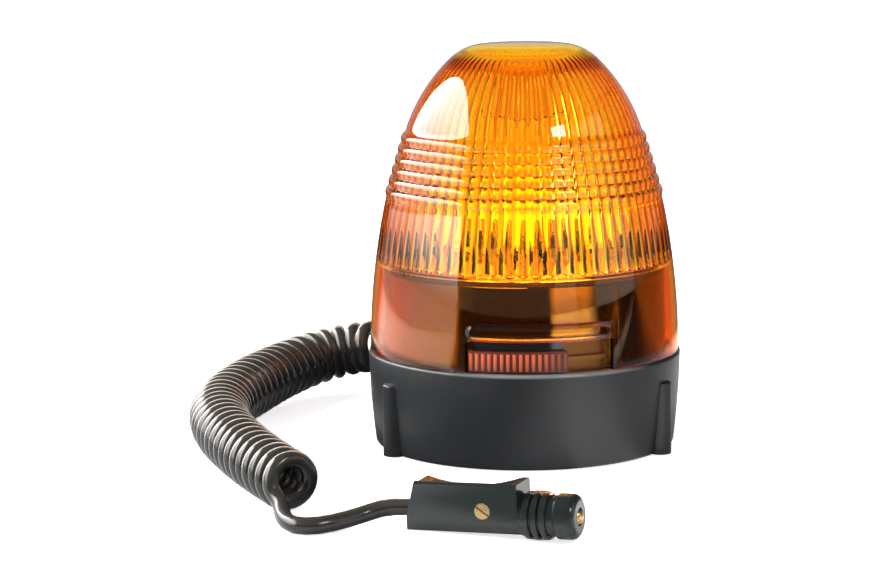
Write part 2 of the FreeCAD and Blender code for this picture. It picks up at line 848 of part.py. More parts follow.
def turntable():
    """The ring gear with its web, hub and the two pillars that carry the reflector."""
    rim = Part.Face(gear_outline(gear_teeth, azimuth(motor_turn), gear_bottom))
    rim = rim.extrude(Vector(0, 0, gear_face_width))
    dish = rod(gear_radius - gear_rim_depth, turntable_top, gear_top + cut_margin)
    hub = rod(hub_radius, bush_bottom + hub_lift, hub_top)
    pillars = []
    taken = [hole(bush_radius, bush_bottom, bush_top)]
    for at in pillar_places():
        pillar = rod(pillar_radius, gear_bottom, reflector_bottom, at)
        pillars.append(pillar)
        taken.append(rod(reflector_screw_radius + running_clearance,
                         reflector_bottom + reflector_tab_thickness - reflector_screw_length,
                         reflector_bottom + cut_margin, at))
    for turn in turntable_hole_turns:
        at = place(turntable_hole_circle, turn)
        taken.append(hole(turntable_hole_radius, gear_bottom, turntable_top, at))
    upper = fuse([hub] + pillars)
    upper = cut(upper, taken)
    upper.rotate(ORIGIN, UP, rest_turn)
    web = cut(rim, [dish] + taken[:1])
    holes = Part.makeCompound(taken)
    holes.rotate(ORIGIN, UP, rest_turn)
    return fuse([web.cut(holes), upper])


def bulb_post():
    """The hollow post on the deck that the rotor turns on and the bulb stands on."""
    groove_bottom = bush_top + body_gap
    groove_top = groove_bottom + clip_thickness + screw_clearance
    neck = post_radius - clip_depth
    solid = turned_outline((
        (post_bore_radius, deck_top), (post_flange_radius, deck_top), (post_flange_radius, washer_bottom),
        (post_radius, washer_bottom), (post_radius, groove_bottom), (neck, groove_bottom),
        (neck, groove_top), (post_radius, groove_top), (post_radius, post_top),
        (post_bore_radius, post_top),
    ))
    taken = [rod(post_screw_radius + running_clearance, deck_top - cut_margin, washer_bottom - body_gap, at)
             for at in post_screw_places()]
    return cut(solid, taken)


def post_screws():
    """The screws that hold the bulb post, up through the deck."""
    length = washer_bottom - 2 * body_gap - deck_bottom
    screw = headed_screw(post_screw_radius, length, post_screw_head_radius, post_screw_head_height)
    screws = []
    for at in post_screw_places():
        placed = screw.copy()
        placed.translate(Vector(at.x, at.y, deck_bottom))
        screws.append(placed)
    return Part.makeCompound(screws)


def thrust_washer():
    """The slippery washer under the rotor's bush."""
    inner = post_radius + screw_clearance
    return ring(inner, inner + washer_width, washer_bottom, washer_bottom + washer_thickness)


def bearing_bush():
    """The flanged bronze bush in the turntable's hub."""
    inner = post_radius + running_clearance
    lip = bush_radius + bush_flange_width
    return turned_outline((
        (inner, bush_bottom), (bush_radius, bush_bottom), (bush_radius, hub_top), (lip, hub_top),
        (lip, bush_top), (inner, bush_top),
    ))


def retaining_ring():
    """The open spring ring in the post's groove that keeps the rotor down."""
    bottom = bush_top + body_gap
    inner = post_radius - clip_depth + screw_clearance
    return sector(inner, inner + clip_width, bottom, bottom + clip_thickness, clip_mouth, 360.0 - clip_mouth)


def reflector_shell():
    """A paraboloid shell about its own axis, its focus at the filament, opening towards -Y."""
    reach = math.hypot(reflector_width, reflector_height) / 2 + cut_margin
    bowl = []
    for back in (0.0, reflector_thickness):
        points = []
        for k in range(reflector_curve_points):
            across = reach * k / (reflector_curve_points - 1)
            depth = across ** 2 / (4 * reflector_focal_length)
            points.append(Vector(across, reflector_focal_length + back - depth, 0))
        curve = Part.BSplineCurve()
        curve.interpolate(points)
        bowl.append((curve.toShape(), points))
    rim = Part.LineSegment(bowl[0][1][-1], bowl[1][1][-1]).toShape()
    middle = Part.LineSegment(bowl[0][1][0], bowl[1][1][0]).toShape()
    face = Part.Face(Part.Wire(Part.__sortEdges__([bowl[0][0], rim, bowl[1][0], middle])))
    shell = face.revolve(ORIGIN, Vector(0, 1, 0), 360)
    shell.translate(Vector(0, 0, filament_middle))
    return shell


def reflector():
    """The mirrored dish, trimmed to a rounded oblong, with a mouth for the bulb and two screw tabs."""
    half_width = reflector_width / 2
    half_height = reflector_height / 2
    deep = 2 * reflector_width
    corner = Vector(-half_width, -deep / 2, -half_height)
    block = Part.makeBox(reflector_width, deep, reflector_height, corner)
    long_edges = [e for e in block.Edges if e.BoundBox.YLength > deep / 2]
    block = block.makeFillet(reflector_corner, long_edges)
    block.translate(Vector(0, 0, filament_middle))
    dish = reflector_shell().common(block)
    tabs = []
    taken = [rod(holder_sweep_radius + reflector_notch_gap, reflector_bottom - cut_margin,
                 bulb_seat + bulb_collar_height + reflector_notch_gap)]
    for at in pillar_places():
        tab = Part.makeBox(reflector_tab_width, reflector_tab_depth, reflector_tab_thickness,
                           Vector(at.x - reflector_tab_width / 2,
                                  at.y + pillar_radius - reflector_tab_depth, reflector_bottom))
        tabs.append(tab)
        taken.append(hole(reflector_screw_radius + screw_clearance, reflector_bottom,
                          reflector_bottom + reflector_tab_thickness, at))
    solid = cut(fuse([dish] + tabs), taken)
    solid.rotate(ORIGIN, UP, rest_turn)
    return solid


def reflector_screws():
    """The two screws down through the reflector's tabs into the pillars."""
    head_seat = reflector_bottom + reflector_tab_thickness
    screw = headed_screw(reflector_screw_radius, reflector_screw_length - running_clearance,
                         reflector_screw_head_radius, reflector_screw_head_height)
    screw.rotate(ORIGIN, Vector(1, 0, 0), 180)
    screws = []
    for at in pillar_places():
        placed = screw.copy()
        placed.translate(Vector(at.x, at.y, head_seat))
        screws.append(placed)
    group = Part.makeCompound(screws)
    group.rotate(ORIGIN, UP, rest_turn)
    return group


# Bulb


def bulb_holder():
    """The cup on the post with the bulb's seat and two lugs for the spring clip."""
    solid = ring(bulb_plug_radius + screw_clearance, holder_radius, post_top, holder_top)
    lugs = []
    for side in (1, -1):
        lugs.append(Part.makeBox(holder_lug_width, holder_lug_thickness + clip_leg_start, holder_height,
                                 Vector(side * clip_half_width - holder_lug_width / 2,
                                        -clip_leg_start - holder_lug_thickness, post_top)))
        lugs.append(Part.makeBox(holder_lug_width, holder_lug_thickness, holder_height + holder_lug_rise,
                                 Vector(side * clip_half_width - holder_lug_width / 2,
                                        -clip_leg_start - holder_lug_thickness, post_top)))
    solid = fuse([solid] + lugs)
    return solid.cut(hole(bulb_plug_radius + screw_clearance, post_top, holder_top))


def bulb_base():
    """The bulb's metal foot: flange, collar and the insulating plug under it."""
    return turned_outline((
        (0, post_top + body_gap), (bulb_plug_radius, post_top + body_gap), (bulb_plug_radius, holder_top),
        (bulb_flange_radius, holder_top), (bulb_flange_radius, bulb_seat), (bulb_collar_radius, bulb_seat),
        (bulb_collar_radius, bulb_seat + bulb_collar_height), (0, bulb_seat + bulb_collar_height),
    ))


def bulb_contact():
    """The flat blade under the bulb that the supply clips on."""
    top = post_top + body_gap
    return Part.makeBox(contact_width, contact_thickness, contact_length,
                        Vector(-contact_width / 2, -contact_thickness / 2, top - contact_length))


def bulb_glass():
    """The bulb's tube, hollow, with a rounded tip."""
    bottom = bulb_seat + bulb_collar_height
    straight = bottom + bulb_glass_length - bulb_glass_radius
    inner = bulb_glass_radius - bulb_glass_wall
    tip = straight + bulb_glass_radius
    inner_tip = straight + inner
    return turned([
        line((inner, bottom), (bulb_glass_radius, bottom)),
        line((bulb_glass_radius, bottom), (bulb_glass_radius, straight)),
        bow((bulb_glass_radius, straight), (0, tip), round_bulge(bulb_glass_radius)),
        line((0, tip), (0, inner_tip)),
        bow((inner, straight), (0, inner_tip), round_bulge(inner)),
        line((inner, straight), (inner, bottom)),
    ])


def bulb_filament():
    """The filament's coil as a small bar, on two leads."""
    bottom = bulb_seat + bulb_collar_height
    low = filament_middle - filament_length / 2
    coil = rod(filament_radius, low, low + filament_length)
    reach = filament_radius + 3 * filament_lead_radius
    near = rod(filament_lead_radius, bottom, low + filament_lead_radius, Vector(filament_radius / 2, 0, 0))
    far = rod(filament_lead_radius, bottom, low + filament_length, Vector(-reach, 0, 0))
    bridge_start = Vector(-reach, 0, low + filament_length)
    bridge = Part.makeCylinder(filament_lead_radius, reach, bridge_start, Vector(1, 0, 0))
    return fuse([coil, near, far, bridge])


def bulb_clip():
    """The spring wire that holds the bulb's flange down, a U that starts at the holder's lugs."""
    height = bulb_seat + clip_wire_radius
    start = Vector(clip_half_width, -clip_leg_start, height)
    bend_start = Vector(clip_half_width, clip_leg_end, height)
    bend_middle = Vector(0, clip_leg_end + clip_half_width, height)
    bend_end = Vector(-clip_half_width, clip_leg_end, height)
    end = Vector(-clip_half_width, -clip_leg_start, height)
    path = Part.Wire([
        Part.LineSegment(start, bend_start).toShape(),
        Part.Arc(bend_start, bend_middle, bend_end).toShape(),
        Part.LineSegment(bend_end, end).toShape(),
    ])
    section = Part.Wire(Part.makeCircle(clip_wire_radius, start, Vector(0, 1, 0)))
    return path.makePipeShell([section], True, False)


# Cord


def gland_wall_radius():
    """The skirt's outer radius at the top of the gland's flange, which rests there."""
    return foot_wall_radius(gland_height + gland_flange_radius)


def cable_gland():
    """The rubber grommet in the foot's wall with its tapered, grooved boot."""
    wall_outer = gland_wall_radius()
    wall_inner = foot_wall_radius(gland_height - gland_flange_radius) - foot_wall
    inner_face = math.sqrt(wall_inner ** 2 - gland_flange_radius ** 2) - screw_clearance
    boot_start = wall_outer + gland_flange_thickness
    tip = boot_start + gland_boot_length
    inner_end = inner_face - gland_flange_thickness / 2
    corners = [(0, inner_end), (gland_flange_radius, inner_end), (gland_flange_radius, inner_face),
               (gland_neck_radius, inner_face), (gland_neck_radius, wall_outer),
               (gland_flange_radius, wall_outer), (gland_flange_radius, boot_start)]
    pitch = gland_boot_length / (gland_groove_count + 1)
    for k in range(gland_groove_count + 1):
        share = k / (gland_groove_count + 1)
        radius = gland_boot_radius + share * (gland_tip_radius - gland_boot_radius)
        along = boot_start + k * pitch
        corners.append((radius - gland_groove_depth, along))
        corners.append((radius - gland_groove_depth, along + pitch / 3))
        corners.append((radius, along + pitch / 3))
        corners.append((radius - gland_groove_depth / 4, along + pitch))
    corners += [(gland_tip_radius, tip), (0, tip)]
    boot = turned_outline(corners)
    boot.rotate(ORIGIN, Vector(0, 1, 0), 90)
    boot.rotate(ORIGIN, UP, azimuth(gland_turn))
    boot.translate(Vector(0, 0, gland_height))
    return boot


def gland_tip():
    """The middle of the boot's mouth, where the cord comes out."""
    return place(gland_wall_radius() + gland_flange_thickness + gland_boot_length, gland_turn, gland_height)


def cord_path(name, points):
    """Straight runs joined by tangent arcs, each arc as large as its two runs allow."""
    route = [Vector(*p) for p in points]
    edges = []
    radii = []
    at = route[0]
    for before, corner, after in zip(route, route[1:], route[2:]):
        back = (before - corner).normalize()
        ahead = (after - corner).normalize()
        reach = cord_bend_reach * min(before.distanceToPoint(corner), after.distanceToPoint(corner))
        half_turn = (math.pi - back.getAngle(ahead)) / 2
        radius = reach / math.tan(half_turn)
        inward = (back + ahead).normalize()
        start = corner + back * reach
        end = corner + ahead * reach
        middle = corner + inward * (radius / math.cos(half_turn) - radius)
        edges.append(Part.LineSegment(at, start).toShape())
        edges.append(Part.Arc(start, middle, end).toShape())
        radii.append(round(radius, 1))
        at = end
    edges.append(Part.LineSegment(at, route[-1]).toShape())
    print(name, "radii", radii)
    return Part.Wire(edges)


def cord_tube(name, points, radius):
    """A round tube along a cord's path, with its volume set against its section times its length."""
    path = cord_path(name, points)
    start = Vector(*points[0])
    direction = Vector(*points[1]) - start
    section = Part.Wire(Part.makeCircle(radius, start, direction))
    tube = path.makePipeShell([section], True, False)
    share = tube.Volume / (math.pi * radius ** 2 * path.Length)
    print(name, "length", round(path.Length, 1), "volume share", round(share, 4))
    return tube


def cord_lead_in():
    """The short straight stretch from the boot to the coil."""
    start = gland_tip()
    return cord_tube("cord_lead_in", (tuple(start), coil_points[0]), cord_radius)


# Plug


def on_plug(shape):
    """Moves a piece from the plug's own frame, rear at the origin and nose along +X, to where it lies."""
    moved = shape.copy()
    moved.rotate(ORIGIN, Vector(0, 1, 0), -plug_tilt)
    moved.rotate(ORIGIN, UP, plug_direction)
    moved.translate(Vector(plug_rear[0], plug_rear[1], plug_lift))
    return moved


def plug_body():
    """The plug's whole body: a chamfered bar with a raked rear and a finger hollow along its top."""
    high = plug_body_height
    half_top = plug_half_width - plug_top_chamfer
    side = ((plug_bottom_half_width, 0), (plug_half_width, plug_bottom_chamfer),
            (plug_half_width, high - plug_top_chamfer), (half_top, high))
    corners = [Vector(0, y, z) for y, z in side]
    corners += [Vector(0, -y, z) for y, z in reversed(side)]
    bar = Part.Face(Part.makePolygon(corners + corners[:1])).extrude(Vector(plug_body_length, 0, 0))
    grip_start = Vector(plug_grip_centre, plug_grip_edge - plug_half_width, high)
    grip_start.z += plug_grip_radius - plug_grip_depth
    grip = Part.makeCylinder(plug_grip_radius, 2 * plug_half_width, grip_start, Vector(0, 1, 0))
    slope = plug_rear_rake / high
    behind = -plug_rear_rake
    raked = ((-slope * cut_margin, -cut_margin), (slope * (high + cut_margin), high + cut_margin),
             (behind, high + cut_margin), (behind, -cut_margin))
    rake = [Vector(x, -2 * plug_half_width, z) for x, z in raked]
    wedge = Part.Face(Part.makePolygon(rake + rake[:1])).extrude(Vector(0, 4 * plug_half_width, 0))
    return cut(bar, [grip, wedge])


def plug_half(side):
    """One half of the body: the near half carries the screw's head and the far half its thread."""
    deep = 2 * plug_half_width
    block = Part.makeBox(2 * plug_body_length, deep, 2 * plug_body_height,
                         Vector(-plug_body_length / 2, 0 if side > 0 else -deep, -plug_body_height / 2))
    at = Vector(plug_screw_place, -plug_half_width, plug_screw_height)
    inward = Vector(0, 1, 0)
    head = Part.makeCylinder(plug_screw_head_radius + screw_clearance, plug_screw_head_height, at, inward)
    shank = Part.makeCylinder(plug_screw_radius + screw_clearance, plug_screw_length, at, inward)
    return on_plug(cut(plug_body().common(block), [head, shank]))


def plug_screw():
    """The brass slotted screw through the near half into the far half."""
    at = Vector(plug_screw_place, -plug_half_width, plug_screw_height)
    inward = Vector(0, 1, 0)
    head = Part.makeCylinder(plug_screw_head_radius, plug_screw_head_height, at, inward)
    shank = Part.makeCylinder(plug_screw_radius, plug_screw_length - screw_clearance, at, inward)
    slot = Part.makeBox(4 * plug_screw_head_radius, plug_screw_slot, plug_screw_slot,
                        Vector(-2 * plug_screw_head_radius, 0, -plug_screw_slot / 2))
    slot.rotate(ORIGIN, Vector(0, 1, 0), -plug_screw_slot_turn)
    slot.translate(at)
    return on_plug(head.fuse(shank).cut(slot))


def nose_outline():
    """The nose's outline in (radius, distance from the body's front): ridges, waist and barrel."""
    corners = [(nose_neck_radius, 0.0), (nose_neck_radius, nose_neck_length)]
    along = nose_neck_length
    for _ in range(nose_ridge_count):
        corners.append((nose_ridge_radius - nose_edge, along))
        corners.append((nose_ridge_radius, along + nose_edge))
        corners.append((nose_ridge_radius, along + nose_ridge_length - nose_edge))
        corners.append((nose_ridge_radius - nose_edge, along + nose_ridge_length))
        corners.append((nose_waist_radius, along + nose_ridge_length))
        along += nose_ridge_length + nose_ridge_gap
        corners.append((nose_waist_radius, along))
    corners.append((nose_waist_radius, along + nose_waist_length))
    along += nose_waist_length + nose_radius - nose_waist_radius
    corners.append((nose_radius, along))
    along += nose_barrel_length
    corners.append((nose_radius, along))
    return corners, along


def nose_length():
    """The nose from the body's front to its end face."""
    return nose_outline()[1] + nose_end_length


def on_nose(shape):
    """Moves a piece made about +Z, from the body's front upwards, to the plug's nose."""
    moved = shape.copy()
    moved.rotate(ORIGIN, Vector(0, 1, 0), 90)
    moved.translate(Vector(plug_body_length, 0, nose_axis_height))
    return on_plug(moved)


def side_contact_block(width, length, low, high, turn):
    """A block along the nose at a turn round it, measured outwards from its axis."""
    start = nose_neck_length + nose_edge + (side_contact_length - length) / 2
    block = Part.makeBox(high - low, width, length, Vector(low, -width / 2, start))
    block.rotate(ORIGIN, UP, turn)
    return block


def plug_nose():
    """The ribbed nose, bored for the sprung tip and pocketed for the side contacts."""
    corners, barrel_end = nose_outline()
    end = barrel_end + nose_end_length
    edges = [line(a, b) for a, b in zip([(0, 0)] + corners, corners)]
    edges.append(bow((nose_radius, barrel_end), (nose_end_radius, end), round_bulge(nose_end_length)))
    edges.append(line((nose_end_radius, end), (0, end)))
    edges.append(line((0, end), (0, 0)))
    solid = turned(edges)
    chamber_top = end - tip_wall
    chamber_bottom = chamber_top - tip_shoulder_length - tip_travel - body_gap
    taken = [
        rod(tip_radius + running_clearance, chamber_bottom, end + cut_margin),
        rod(tip_shoulder_radius + screw_clearance, chamber_bottom, chamber_top),
    ]
    floor = nose_ridge_radius - side_contact_thickness - side_contact_travel - 2 * body_gap
    for turn in side_contact_turns:
        taken.append(side_contact_block(side_contact_width + 2 * running_clearance,
                                        side_contact_length + 2 * running_clearance,
                                        floor, 2 * nose_ridge_radius, turn))
    return on_nose(cut(solid, taken))


def plug_tip_contact():
    """The sprung tip: a rounded pin with a shoulder that stops behind the nose's front wall."""
    end = nose_length()
    shoulder_top = end - tip_wall - running_clearance
    shoulder_bottom = shoulder_top - tip_shoulder_length
    round_start = end + tip_proud - tip_radius
    return on_nose(turned([
        line((0, shoulder_bottom), (tip_shoulder_radius, shoulder_bottom)),
        line((tip_shoulder_radius, shoulder_bottom), (tip_shoulder_radius, shoulder_top)),
        line((tip_shoulder_radius, shoulder_top), (tip_radius, shoulder_top)),
        line((tip_radius, shoulder_top), (tip_radius, round_start)),
        bow((tip_radius, round_start), (0, end + tip_proud), round_bulge(tip_radius)),
        line((0, end + tip_proud), (0, shoulder_bottom)),
    ]))


def plug_side_contact(turn):
    """A bowed spring contact that stands a little out of its pocket in the nose."""
    top = nose_ridge_radius + side_contact_rise
    low = nose_ridge_radius - side_contact_thickness - body_gap
    block = side_contact_block(side_contact_width, side_contact_length, low, top, turn)
    middle = nose_neck_length + nose_edge + side_contact_length / 2
    drop = top - low - side_contact_thickness
    bow_radius = (side_contact_length ** 2 / 4 + drop ** 2) / (2 * drop)
    round_top = Part.makeCylinder(bow_radius, 2 * side_contact_width,
                                  Vector(top - bow_radius, -side_contact_width, middle), Vector(0, 1, 0))
    round_top.rotate(ORIGIN, UP, turn)
    return on_nose(block.common(round_top))


put("magnet_foot", magnet_foot())
put("foot_screws", foot_screws())
put("rubber_pad", rubber_pad())
put("magnet_ring", magnet_ring())
put("pole_plate", pole_plate())
put("magnet_bolt", magnet_bolt())
put("magnet_nut", magnet_nut())
put("drum_housing", drum_housing())
put("lens_seal", lens_seal())
put("lens_dome", lens_dome())
put("lens_lock_slide", lock_slide())
put("motor_body", motor_body())
put("motor_damper", motor_damper())
put("motor_screws", motor_screws())
put("motor_shaft", motor_shaft())
put("motor_pinion", motor_pinion())
put("bulb_post", bulb_post())
put("post_screws", post_screws())
put("thrust_washer", thrust_washer())
put("bearing_bush", bearing_bush())
put("turntable", turntable())
put("retaining_ring", retaining_ring())
put("reflector", reflector())
put("reflector_screws", reflector_screws())
put("bulb_holder", bulb_holder())
put("bulb_base", bulb_base())
put("bulb_contact", bulb_contact())
put("bulb_glass", bulb_glass())
put("bulb_filament", bulb_filament())
put("bulb_clip", bulb_clip())
put("cable_gland", cable_gland())
put("cord_lead_in", cord_lead_in())
put("cord_coil", cord_tube("cord_coil", coil_points, coil_radius))
put("cord_tail", cord_tube("cord_tail", tail_points, cord_radius))
put("plug_shell_near", plug_half(-1))
put("plug_shell_far", plug_half(1))
put("plug_screw", plug_screw())
put("plug_nose", plug_nose())
put("plug_tip_contact", plug_tip_contact())
put("plug_side_contact_upper", plug_side_contact(side_contact_turns[0]))
put("plug_side_contact_lower", plug_side_contact(side_contact_turns[1]))
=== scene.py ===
import json
import math

import bmesh
import bpy
import numpy as np
from mathutils import Matrix


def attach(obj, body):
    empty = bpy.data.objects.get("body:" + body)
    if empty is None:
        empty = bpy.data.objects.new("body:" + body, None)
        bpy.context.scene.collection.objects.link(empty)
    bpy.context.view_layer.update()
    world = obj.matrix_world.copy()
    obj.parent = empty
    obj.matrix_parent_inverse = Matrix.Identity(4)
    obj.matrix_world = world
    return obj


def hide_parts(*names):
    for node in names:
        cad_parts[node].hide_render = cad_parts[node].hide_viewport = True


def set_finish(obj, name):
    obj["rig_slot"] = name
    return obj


# A rotating amber beacon on a magnetic foot, dressed for one picture and for any other view.
# Metres. +Z is up, the front is at -Y, and a turn is an angle from the front towards +X.

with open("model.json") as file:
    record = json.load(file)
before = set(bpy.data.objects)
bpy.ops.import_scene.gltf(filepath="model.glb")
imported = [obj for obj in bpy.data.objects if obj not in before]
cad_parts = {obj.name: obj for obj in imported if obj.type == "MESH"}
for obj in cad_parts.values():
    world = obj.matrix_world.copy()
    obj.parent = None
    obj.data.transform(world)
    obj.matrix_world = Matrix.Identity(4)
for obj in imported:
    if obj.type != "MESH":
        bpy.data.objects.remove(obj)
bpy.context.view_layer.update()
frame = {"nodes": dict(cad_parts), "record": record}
nodes = frame["nodes"]

# Stage: half the floor's side, and the share of the main light's level that is left at its foot
floor_half = 8.0
oval_foot = 0.08

# Camera
camera_place = (-0.0472, -1.3, 0.2922)
camera_pitch = 9.252
camera_roll = -0.514
camera_focal_mm = 102.81

# Cord, with the axis of its curly stretch and the plain tail to the plug. The coil's outer radii stand at
# shares of its length, and the turns begin and end over the start's and the end's lengths.
cord_radius = 0.0040
coil_pitch = 0.0092
coil_start = 0.0210
coil_end = 0.0130
coil_end_angle = 134.6
coil_places = (0.0, 0.12, 0.35, 0.6, 1.0)
coil_outer_radii = (0.0148, 0.0158, 0.0172, 0.0162, 0.0150)
points_per_turn = 16
steps_per_pitch = 180
boot_mouth = (-0.0585, 0.0867, 0.0300)
boot_inside = (-0.0550, 0.0815, 0.0300)
coil_route = (
    (-0.0698, 0.1035, 0.0300),
    (-0.0800, 0.1165, 0.0290),
    (-0.0940, 0.1250, 0.0265),
    (-0.1100, 0.1250, 0.0230),
    (-0.1245, 0.1150, 0.0202),
    (-0.1380, 0.0940, 0.0182),
    (-0.1510, 0.0590, 0.0173),
    (-0.1635, 0.0090, 0.0168),
    (-0.1595, -0.0395, 0.0163),
    (-0.1450, -0.0880, 0.0157),
    (-0.1275, -0.1330, 0.0152),
    (-0.1125, -0.1660, 0.0151),
)
tail_route = (
    (-0.1199, -0.1693, 0.0072),
    (-0.1188, -0.1840, 0.0046),
    (-0.1130, -0.1980, 0.0042),
    (-0.1015, -0.1990, 0.0042),
    (-0.0880, -0.1885, 0.0046),
    (-0.0775, -0.1815, 0.0064),
    (-0.0685, -0.1821, 0.0092),
    (-0.0568, -0.1870, 0.00975),
)

# Lens
lens_bottom = 0.0503
lens_height = 0.1607
lens_base_radius = 0.0816
lens_wall = 0.0026
skirt_height = 0.0812
skirt_bulge = 0.0022
belt_height = 0.0335
belt_bottom_radius = 0.0724
belt_top_radius = 0.0622
belt_rings = 6
belt_ring_bulge = 0.0013
dome_bulge = 0.0029
crown_radius = 0.0380
crown_drop = 0.0075
crown_corner_bulge = 0.0015
crown_top_radius = 0.0220
crown_top_drop = 0.0007
flutes = 72
flute_depth = 0.0015
flute_start = 0.0457
seal_land_height = 0.0018
seal_land_width = 0.0036
flute_run_in = 0.0020
columns_per_flute = 8
window_left = -23.4
window_right = 31.4
window_height = 0.0162
window_bar_height = 0.0086
window_bar_proud = 0.0005
window_bar_edge = 0.0022
window_bar_margin = 0.0010
parting_turn = 34.8

# Heights and a half height that follow from these
lens_apex = lens_bottom + lens_height
shoulder_height = lens_apex - crown_drop
belt_bottom = lens_bottom + skirt_height
belt_top = belt_bottom + belt_height
flute_bottom = lens_bottom + flute_start
land_top = flute_bottom + seal_land_height
window_top = lens_bottom + window_height
bar_top = window_top + window_bar_height + window_bar_margin
bar_half = window_bar_height / 2

# Lock slide, the radii of its ribs' valleys and crests
slide_valley = 0.0793
slide_crest = 0.0803

# Foot, the heights between which its shoulder begins, and with it the painted highlight on its front
shoulder_highlight_from = 0.0478
shoulder_highlight_to = 0.0492

# Drum, the turns and the height of the lock's free way, over which a tan glow is painted
free_way_left = 11
free_way_right = 32
free_way_top = 0.067

# Scale of the clouds in the solid finishes
cloud_scale = 40.0


# Camera and cord


def make_camera():
    """The camera stands in front of the beacon, looks along +Y and is pitched down a little."""
    data = bpy.data.cameras.new("camera")
    data.sensor_width = 36.0
    data.lens = camera_focal_mm
    camera = bpy.data.objects.new("camera", data)
    tilt = Matrix.Rotation(math.radians(90.0 - camera_pitch), 4, "X")
    roll = Matrix.Rotation(math.radians(camera_roll), 4, "Z")
    camera.matrix_world = Matrix.Translation(camera_place) @ tilt @ roll
    bpy.context.scene.collection.objects.link(camera)
    bpy.context.scene.camera = camera


def nurbs_curve(name, points):
    """One open spline whose control points these are, a NURBS of order 3 that meets its two ends."""
    curve = bpy.data.curves.new(name, "CURVE")
    curve.dimensions = "3D"
    spline = curve.splines.new("NURBS")
    spline.points.add(len(points) - 1)
    spline.points.foreach_set("co", np.column_stack((points, np.ones(len(points)))).ravel())
    spline.points.foreach_set("radius", np.full(len(points), cord_radius))
    spline.order_u = 3
    spline.use_endpoint_u = True
    return curve


def line_of(points):
    """The points along the smooth line that control points give, read from a curve with no bevel."""
    curve = nurbs_curve("route", points)
    curve.resolution_u = 24
    holder = bpy.data.objects.new("route", curve)
    mesh = bpy.data.meshes.new_from_object(holder)
    line = np.empty(3 * len(mesh.vertices))
    mesh.vertices.foreach_get("co", line)
    bpy.data.objects.remove(holder)
    bpy.data.curves.remove(curve)
    bpy.data.meshes.remove(mesh)
    return line.reshape(-1, 3)


def unit(vectors):
    """Each row of an array, at length one."""
    return vectors / np.linalg.norm(vectors, axis=-1, keepdims=True)


def smooth_step(low, high, value):
    """0 below low, 1 above high and 3t^2 - 2t^3 between them."""
    t = np.clip((value - low) / (high - low), 0.0, 1.0)
    return t * t * (3 - 2 * t)


def spaced(line, gap):
    """Points along a line at even gaps of about this length, and how far along it each lies."""
    steps = np.linalg.norm(np.diff(line, axis=0), axis=1)
    travelled = np.concatenate(((0.0,), np.cumsum(steps)))
    at = np.linspace(0.0, travelled[-1], round(travelled[-1] / gap) + 1)
    return np.column_stack([np.interp(at, travelled, line[:, k]) for k in range(3)]), at


def coil_turns(axis_line):
    """A right-handed helix round a line: centre + radius * (right sin a + up cos a), where a grows by
    2 pi in each pitch and ends at its end angle. The radius runs through the coil's outer radii less the
    cable's own. Along the start, radius and rate of turn both grow from nothing as 3t^2 - 2t^3, and along
    the end the rate falls away again. The last two points are left to the tail."""
    centre, along = spaced(axis_line, coil_pitch / steps_per_pitch)
    forward = unit(np.gradient(centre, along, axis=0))
    right = unit(np.cross(forward, (0.0, 0.0, 1.0)))
    up = np.cross(right, forward)
    begun = smooth_step(0.0, coil_start, along)
    ended = smooth_step(along[-1] - coil_end, along[-1], along)
    turned = np.cumsum(begun * (1 - ended)) * along[1] * 2 * math.pi / coil_pitch
    angle = turned - turned[-1] + math.radians(coil_end_angle)
    radius = begun * (np.interp(along / along[-1], coil_places, coil_outer_radii) - cord_radius)
    outward = np.sin(angle)[:, None] * right + np.cos(angle)[:, None] * up
    gap = 2 * math.pi * (coil_outer_radii[0] - cord_radius) / points_per_turn
    return spaced(centre + radius[:, None] * outward, gap)[0][:-2]


def make_cord():
    """The cord is one spline: out of the boot, round every turn of the coil, and along the tail."""
    turns = coil_turns(line_of(coil_route))
    points = np.concatenate(((boot_inside, boot_mouth), turns, tail_route))
    curve = nurbs_curve("cord", points)
    # The points' own radius is the cord's, so the bevel's is one.
    curve.bevel_depth = 1.0
    curve.bevel_resolution = 4
    curve.resolution_u = 2
    curve.use_fill_caps = True
    cord = bpy.data.objects.new("cord", curve)
    bpy.context.scene.collection.objects.link(cord)
    line = line_of(points)
    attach(cord, "base")
    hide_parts("cord_lead_in", "cord_coil", "cord_tail")
    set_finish(cord, "cord_sheath")
    return cord


# Meshes from grids


def bow(start, end, bulge, count):
    """Points (radius, height) of an arc that stands out of its chord by bulge:
    with the arc's radius R = (half chord^2 + bulge^2) / (2 bulge), each point is R sin a along the
    chord and R cos a - (R - bulge) out of it."""
    start = np.array(start)
    run = np.array(end) - start
    half = np.linalg.norm(run) / 2
    radius = (half ** 2 + bulge ** 2) / (2 * bulge)
    angle = np.linspace(-1.0, 1.0, count) * math.asin(half / radius)
    ahead = run / (2 * half)
    aside = np.array((ahead[1], -ahead[0]))
    out = radius * np.cos(angle) - (radius - bulge)
    return start + run / 2 + np.outer(radius * np.sin(angle), ahead) + np.outer(out, aside)


def bow_radius(start, end, bulge, height):
    """The radius of such an arc at heights, from the circle through its two ends and its top."""
    run = np.array(end) - np.array(start)
    half = np.linalg.norm(run) / 2
    radius = (half ** 2 + bulge ** 2) / (2 * bulge)
    aside = np.array((run[1], -run[0])) / (2 * half)
    middle = np.array(start) + run / 2 + (bulge - radius) * aside
    return middle[0] + np.sqrt(radius ** 2 - (height - middle[1]) ** 2)


def round_grid(radius, height, turn):
    """Points at radii and heights, a row each, at the turns of the columns."""
    angle = np.radians(turn)
    height = np.broadcast_to(height, radius.shape)
    return np.stack((radius * np.sin(angle), -radius * np.cos(angle), height), axis=-1)


